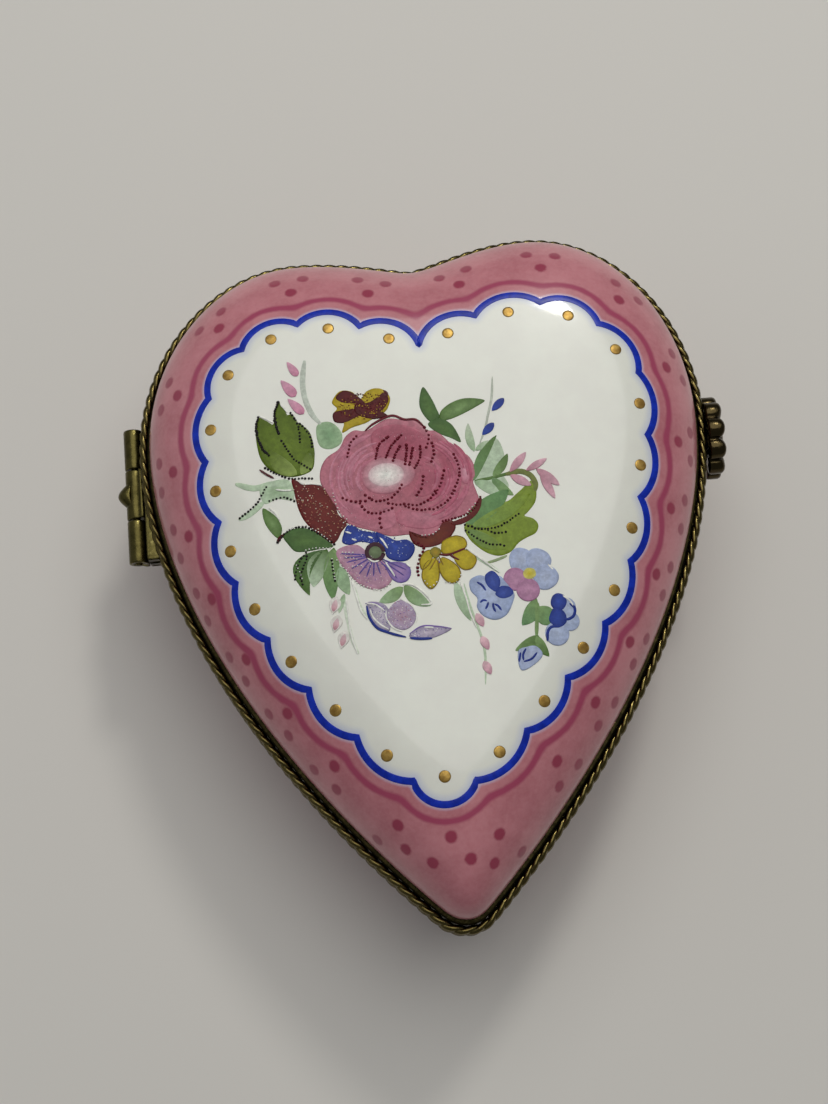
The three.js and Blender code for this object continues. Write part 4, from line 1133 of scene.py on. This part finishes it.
# ---- brass bands, edge wires and collar ----------------------------------------------------------
def make_band(name, node, body, up, reach):
    """A band of angle section: a wall outside, and a ledge that reaches in under the porcelain's rim."""
    rim, ledge, edge = (MATING_Z + up * (MATING_GAP + rise) for rise in (0.0, 0.4, 2.25))
    wall = BAND_D + BAND_T
    corners = [(reach, rim), (BAND_D, rim), (BAND_D, edge), (wall, edge), (wall, ledge), (reach, ledge)]
    verts, faces = heart_lathe(rounded(corners, 0.14))
    add_piece(name, verts, faces, body, BRASS_BAND, [node])


def make_shaded_cement(name, body, up):
    """The plaster line that beds the porcelain in its band, coloured near black: painted shade for the deep
    gap between the porcelain and the band.
    """
    low, high = (MATING_Z + up * (MATING_GAP + rise) for rise in (0.41, 1.95))
    corners = [(1.57, low), (1.57, high - up * 0.1), (2.2, high + up * 0.12), (2.2, low)]
    verts, faces = heart_lathe(rounded(corners, 0.1))
    look = Look("shaded_cement_" + body, Roughness=0.85)
    # near-black mottle: painted shade of the deep gap, not the plaster's own colour
    look.paint(look.mottle(2000, 4, 0.3, 0.7, rgb(0.015, 0.012, 0.009), rgb(0.05, 0.042, 0.032)))
    add_piece(name, verts, faces, body, look.material)


def make_wire(name, node, body):
    """Two strands twisted together."""
    low, high = node_box(node)
    turns, offset, thickness = 74, 0.12, 0.31
    line = even(rings([WIRE_D])[:, 0], turns * 14)
    normal = outward(line)
    run = np.linspace(0, 2 * math.pi * turns, len(line), endpoint=False)
    strands = []
    for phase in (run, run + math.pi):
        xy = line + normal * offset * np.cos(phase)[:, None]
        z = (low[2] + high[2]) / 2 + offset * np.sin(phase)
        strands.append(tube(np.column_stack([xy, z]), thickness, 6))
    verts, faces = joined(strands)
    add_piece(name, verts, faces, body, BRASS_WIRE, [node])


def make_collar():
    low, high = node_box("base_collar")
    corners = [(4.6, low[2]), (4.6, high[2] - 0.25), (4.74, high[2]), (5.0, high[2]), (5.0, low[2])]
    verts, faces = heart_lathe(rounded(corners, 0.1))
    add_piece("collar", verts, faces, "base", BRASS_COLLAR, ["base_collar"])


make_band("lid_band_fine", "lid_band", "lid", 1, 4.2)
make_band("base_band_fine", "base_band", "base", -1, 4.5)
make_shaded_cement("lid_shaded_cement", "lid", 1)
make_shaded_cement("base_shaded_cement", "base", -1)
make_wire("lid_wire_twisted", "lid_edge_wire", "lid")
make_wire("base_wire_twisted", "base_edge_wire", "base")
make_collar()


# ---- hinge ---------------------------------------------------------------------------------------
def eased(loop, by):
    """A loop drawn in towards its middle."""
    inwards = loop.mean(0) - loop
    return loop + inwards / np.linalg.norm(inwards, axis=1)[:, None] * by


def flat_at(loop, y):
    """A loop of (x, z) points as 3-D points at one y."""
    return np.column_stack([loop[:, 0], np.full(len(loop), y), loop[:, 1]])


def along_y(loop, inner, y):
    """A ring-shaped section run along y from a loop to an inner loop, with its outer edges eased."""
    bevel = 0.1
    first, last = y
    stations = [(eased(loop, bevel), first), (eased(loop, bevel * 0.3), first + bevel * 0.3),
                (loop, first + bevel)]
    for t in np.linspace(0, 1, 7)[1:-1]:
        stations.append((loop, first + bevel + (last - first - 2 * bevel) * t))
    stations += [(loop, last - bevel), (eased(loop, bevel * 0.3), last - bevel * 0.3),
                 (eased(loop, bevel), last)]
    stations += [(inner, last), (inner, first)]
    verts = np.vstack([flat_at(section, at) for section, at in stations])
    return verts, lattice(len(stations), len(loop), wrap_rows=True, wrap_columns=True)


def make_knuckle(name, node, body, up):
    """A tube rolled from sheet, its tail running along the hinge plate."""
    low, high = node_box(node)
    radius, hole, sheet, tail = 0.88, 0.42, 0.4, 1.25
    start = math.acos((radius - sheet) / radius)
    arc = np.linspace(start, 2 * math.pi, 60)
    loop = [(radius, 0.4), (radius, tail - 0.1), (radius - 0.1, tail), (radius - sheet + 0.1, tail),
            (radius - sheet, tail - 0.1), (radius - sheet, radius * math.sin(start) + 0.12)]
    loop += [(radius * math.cos(a), radius * math.sin(a)) for a in arc[1:]]
    loop = even(np.array(loop), 72)
    angle = np.linspace(0, 2 * math.pi, 72, endpoint=False) + 0.25
    bore = hole * np.stack([np.cos(angle), np.sin(angle)], axis=1)
    loop, bore = loop * (1, up), bore * (1, up)
    shift = (HINGE[0] - MIDDLE_X, HINGE[2])
    verts, faces = along_y(loop + shift, bore + shift, (low[1], high[1]))
    add_piece(name, verts, faces, body, BRASS_HINGE, [node])


def make_plate(name, node, body):
    """A plate whose back follows the band's face."""
    low, high = node_box(node)
    face_d, overlap = 0.95, 0.06        # the line that the plate's back follows, and how far it goes past it
    band_face = rings([face_d])[:, 0]
    band_face = band_face[band_face[:, 0] < -10]
    order = np.argsort(band_face[:, 1])
    ys = np.linspace(low[1], high[1], 40)
    backs = np.interp(ys, band_face[order, 1], band_face[order, 0]) + overlap
    front = low[0] - MIDDLE_X
    sections = []
    for y, back in zip(ys, backs):
        ease = 0.08 if y in (ys[0], ys[-1]) else 0.0
        under, top = low[2] + ease, high[2] - ease
        corners = [(front + ease, under), (back, under), (back, top), (front + ease, top)]
        sections.append(flat_at(rounded(corners, 0.1), y))
    add_piece(name, np.vstack(sections), capped(len(sections), len(sections[0])), body,
              BRASS_HINGE, [node])


def turned_along(profile, axis, middle, sides):
    """A profile of (radius, position) points, from one end of the axis to the other, turned about it."""
    angle = np.linspace(0, 2 * math.pi, sides, endpoint=False)
    others = [k for k in range(3) if k != axis]
    verts = []
    for radius, position in profile[1:-1]:
        ring = np.zeros((sides, 3))
        ring[:, others[0]] = radius * np.cos(angle)
        ring[:, others[1]] = radius * np.sin(angle)
        ring[:, axis] = position
        verts.append(ring)
    ends = np.zeros((2, 3))
    ends[:, axis] = profile[0][1], profile[-1][1]
    rows = len(verts)
    verts = np.vstack(verts + [ends]) + middle
    faces = lattice(rows, sides, wrap_columns=True)
    for k in range(sides):
        after = (k + 1) % sides
        faces.append((rows * sides, after, k))
        faces.append((rows * sides + 1, (rows - 1) * sides + k, (rows - 1) * sides + after))
    return verts, faces


def make_pin():
    low, high = node_box("hinge_pin")
    r, a, b = 0.35, low[1], high[1]
    profile = [(0, a), (0.2, a + 0.02), (0.31, a + 0.08), (r, a + 0.16), (r, b - 0.16), (0.31, b - 0.08),
               (0.2, b - 0.02), (0, b)]
    verts, faces = turned_along(profile, 1, (HINGE[0], 0, HINGE[2]), 24)
    add_piece("hinge_pin_fine", verts, faces, "base", BRASS_HINGE, ["hinge_pin"],
              centred=False)


def make_lug():
    """A smooth bump on the lid's knuckle, bell-shaped seen from above and wrapped round the barrel."""
    low, high = node_box("hinge_stop_lug")
    half = (high[1] - low[1]) * 0.66
    sunk = 0.12                         # how deep the bump's foot lies in the barrel
    root, reach = HINGE[0] - high[0] - sunk, high[0] - low[0] + sunk
    below = 1.85                        # how much faster it falls away below, to clear the plate when open
    verts = []
    rows = np.concatenate([[-1.0, -0.93], np.linspace(-0.8, 0.8, 9), [0.93, 1.0]])
    turns = np.radians(np.linspace(112, 228, 17))
    for t in rows:
        y = (low[1] + high[1]) / 2 + half * t
        bell = max(math.cos(math.pi / 2 * t), 0.0) ** 1.1
        for turn in turns:
            lean = (turn - math.pi) * (below if turn > math.pi else 1)
            r = root + reach * bell * max(math.cos(lean), 0) ** 1.6
            verts.append((HINGE[0] + r * math.cos(turn), y, HINGE[2] + r * math.sin(turn)))
        verts.append((HINGE[0] - 0.62, y, HINGE[2]))
    add_piece("hinge_lug_fine", verts, capped(len(rows), len(turns) + 1), "lid", BRASS_HINGE,
              ["hinge_stop_lug"], centred=False)


for part, node, body, up in (
        ("hinge_barrel_rear", "hinge_knuckle_rear", "base", -1),
        ("hinge_barrel_front", "hinge_knuckle_front", "base", -1),
        ("hinge_barrel_middle", "hinge_knuckle_lid", "lid", 1)):
    make_knuckle(part, node, body, up)
make_plate("hinge_leaf_base", "hinge_base_plate", "base")
make_plate("hinge_leaf_lid", "hinge_lid_plate", "lid")
make_pin()
make_lug()


# ---- clasp ---------------------------------------------------------------------------------------
def make_rosette():
    """Ten rounded petals round a sunk middle, cast solid."""
    low, high = node_box("clasp_rosette")
    middle = (low + high) / 2
    size = (high[1] - low[1]) / 2
    hole, wire_z, lean = 0.75, 15.1, 0.13       # the back leans on the lid's wire above wire_z
    petals, steps = 10, 14
    angle = np.linspace(0, 2 * math.pi, petals * steps, endpoint=False)
    lobe = np.abs(np.sin(angle * petals / 2))
    rim = (size - 0.03) * (0.84 + 0.16 * lobe ** 0.6)
    thick = high[0] - low[0]
    # share of the radius, share of the thickness, and how much shallower it is between the petals
    section = [(0.2, 0.5, 0), (0.36, 0.5, 0), (0.44, 0.56, 0.03), (0.53, 0.78, 0.16), (0.64, 0.94, 0.3),
               (0.76, 1.0, 0.36), (0.87, 0.98, 0.38), (0.94, 0.92, 0.36), (0.98, 0.83, 0.3),
               (1.0, 0.7, 0.22), (1.0, 0.06, 0), (0.985, -0.03, 0), (0.95, -0.06, 0), (0.2, -0.06, 0)]
    verts = []
    for share, up, cut in section:
        radius = rim * share if share > section[0][0] else np.full(len(angle), hole)
        y, z = middle[1] + radius * np.cos(angle), middle[2] + radius * np.sin(angle)
        x = low[0] + thick * (up - cut * (1 - lobe ** 0.55))
        if up < 0.1:
            x = x - lean * (z > wire_z)
        verts.append(np.column_stack([np.broadcast_to(x, len(angle)), y, z]))
    faces = lattice(len(section), len(angle), wrap_rows=True, wrap_columns=True)
    add_piece("clasp_rosette_fine", np.vstack(verts), faces, "lid", BRASS_CLASP,
              ["clasp_rosette"], centred=False)


def make_rivet():
    low, high = node_box("clasp_rivet")
    middle = (low + high) / 2
    back, front = low[0], high[0]
    shank, edge = 0.45, 0.25            # the shank's radius, and the height of the head's upright edge
    rosette_low, rosette_high = node_box("clasp_rosette")
    neck = rosette_low[0] * 0.5 + rosette_high[0] * 0.5
    head = (high[1] - low[1]) / 2
    profile = [(0, back), (0.4, back), (shank, back + 0.05), (shank, neck), (head - 0.1, neck),
               (head, neck + 0.08), (head * 0.96, neck + edge)]
    profile += [(head * 0.96 * math.cos(a), neck + edge + (front - neck - edge) * math.sin(a))
                for a in np.linspace(0.2, math.pi / 2, 8)[:-1]]
    profile += [(0, front)]
    verts, faces = turned_along(profile, 0, (0, middle[1], middle[2]), 36)
    add_piece("clasp_rivet_fine", verts, faces, "lid", BRASS_CLASP, ["clasp_rivet"],
              centred=False)


def make_tongue():
    """A strip that is thick on the lid's band, and thins out below the mating plane to clear the bead."""
    low, high = node_box("clasp_tongue")
    free = high[0] - 0.5                # back of its free end
    slope_top, slope_foot = MATING_Z + MATING_GAP, MATING_Z - 0.2
    loop = rounded([(low[0], high[2]), (low[0], slope_top), (free, slope_foot), (free, low[2]),
                    (high[0], low[2]), (high[0], high[2])], 0.1)
    edges = (low[1], low[1] + 0.03, low[1] + 0.1, high[1] - 0.1, high[1] - 0.03, high[1])
    verts = [flat_at(eased(loop, by), y) for y, by in zip(edges, (0.1, 0.03, 0, 0, 0.03, 0.1))]
    add_piece("clasp_tongue_fine", np.vstack(verts), capped(len(edges), len(loop)), "lid",
              BRASS_CLASP, ["clasp_tongue"], centred=False)


def make_bead():
    low, high = node_box("catch_bead")
    middle = (low + high) / 2
    radius, depth = (high[1] - low[1]) / 2, high[0] - low[0]
    back = low[0] - 0.1                 # sunk into the band
    profile = [(0, back), (radius, back)]
    profile += [(radius * math.cos(a), low[0] + depth * math.sin(a))
                for a in np.linspace(0, math.pi / 2, 8)]
    verts, faces = turned_along(profile, 0, (0, middle[1], middle[2]), 24)
    add_piece("catch_bead_fine", verts, faces, "base", BRASS_HINGE, ["catch_bead"],
              centred=False)


make_rosette()
make_rivet()
make_tongue()
make_bead()


# ---- table, light and camera ---------------------------------------------------------------------
def stage():
    mesh = bpy.data.meshes.new("table")
    side = 1.2
    mesh.from_pydata([(-side, -side, 0), (side, -side, 0), (side, side, 0), (-side, side, 0)], [],
                     [(0, 1, 2, 3)])
    table = bpy.data.objects.new("table", mesh)
    bpy.context.scene.collection.objects.link(table)
    look = Look("table_top", Roughness=0.75)
    look.shader.inputs["Base Color"].default_value = rgb(0.68, 0.66, 0.62)
    mesh.materials.append(look.material)


def lamp(name, at, aim, size, power, colour):
    data = bpy.data.lights.new(name, "AREA")
    data.shape = "DISK"
    data.size = size
    data.energy = power
    data.color = colour
    made = bpy.data.objects.new(name, data)
    bpy.context.scene.collection.objects.link(made)
    made.location = at
    made.rotation_euler = (Vector(aim) - Vector(at)).to_track_quat("-Z", "Y").to_euler()


def make_camera():
    """The photo's viewpoint: above the box and a little towards the tip, which leans to the left."""
    data = bpy.data.cameras.new("camera")
    data.lens = 54.07
    data.sensor_width = 36
    camera = bpy.data.objects.new("camera", data)
    bpy.context.scene.collection.objects.link(camera)
    at, target = Vector((-4.81, -34.76, 162.8)) * MM, Vector((-1.565, 2.3, 16.8)) * MM
    back = (at - target).normalized()
    right = Vector((0.0872, 0.9962, 0)).cross(back).normalized()
    turn = Matrix((right, back.cross(right), back)).transposed()
    camera.matrix_world = Matrix.Translation(at) @ turn.to_4x4()
    data.clip_start = 0.005
    bpy.context.scene.camera = camera


def make_world():
    world = bpy.data.worlds.new("room")
    bpy.context.scene.world = world
    world.use_nodes = True
    world.node_tree.nodes["Background"].inputs["Color"].default_value = rgb(0.75, 0.77, 0.8)
    world.node_tree.nodes["Background"].inputs["Strength"].default_value = 0.2


stage()
MIDDLE = (0, 0, 0.01)
lamp("key", (0.14, 0.35, 0.43), MIDDLE, 0.09, 0.6, (1.0, 0.98, 0.92))
lamp("overhead", (0.05, 0.17, 0.5), MIDDLE, 0.55, 1.35, (1.0, 0.99, 0.96))
lamp("fill", (-0.45, 0.2, 0.40), MIDDLE, 0.9, 0.4, (0.94, 0.96, 1.0))
make_camera()
make_world()
bpy.context.scene.view_settings.view_transform = "Standard"
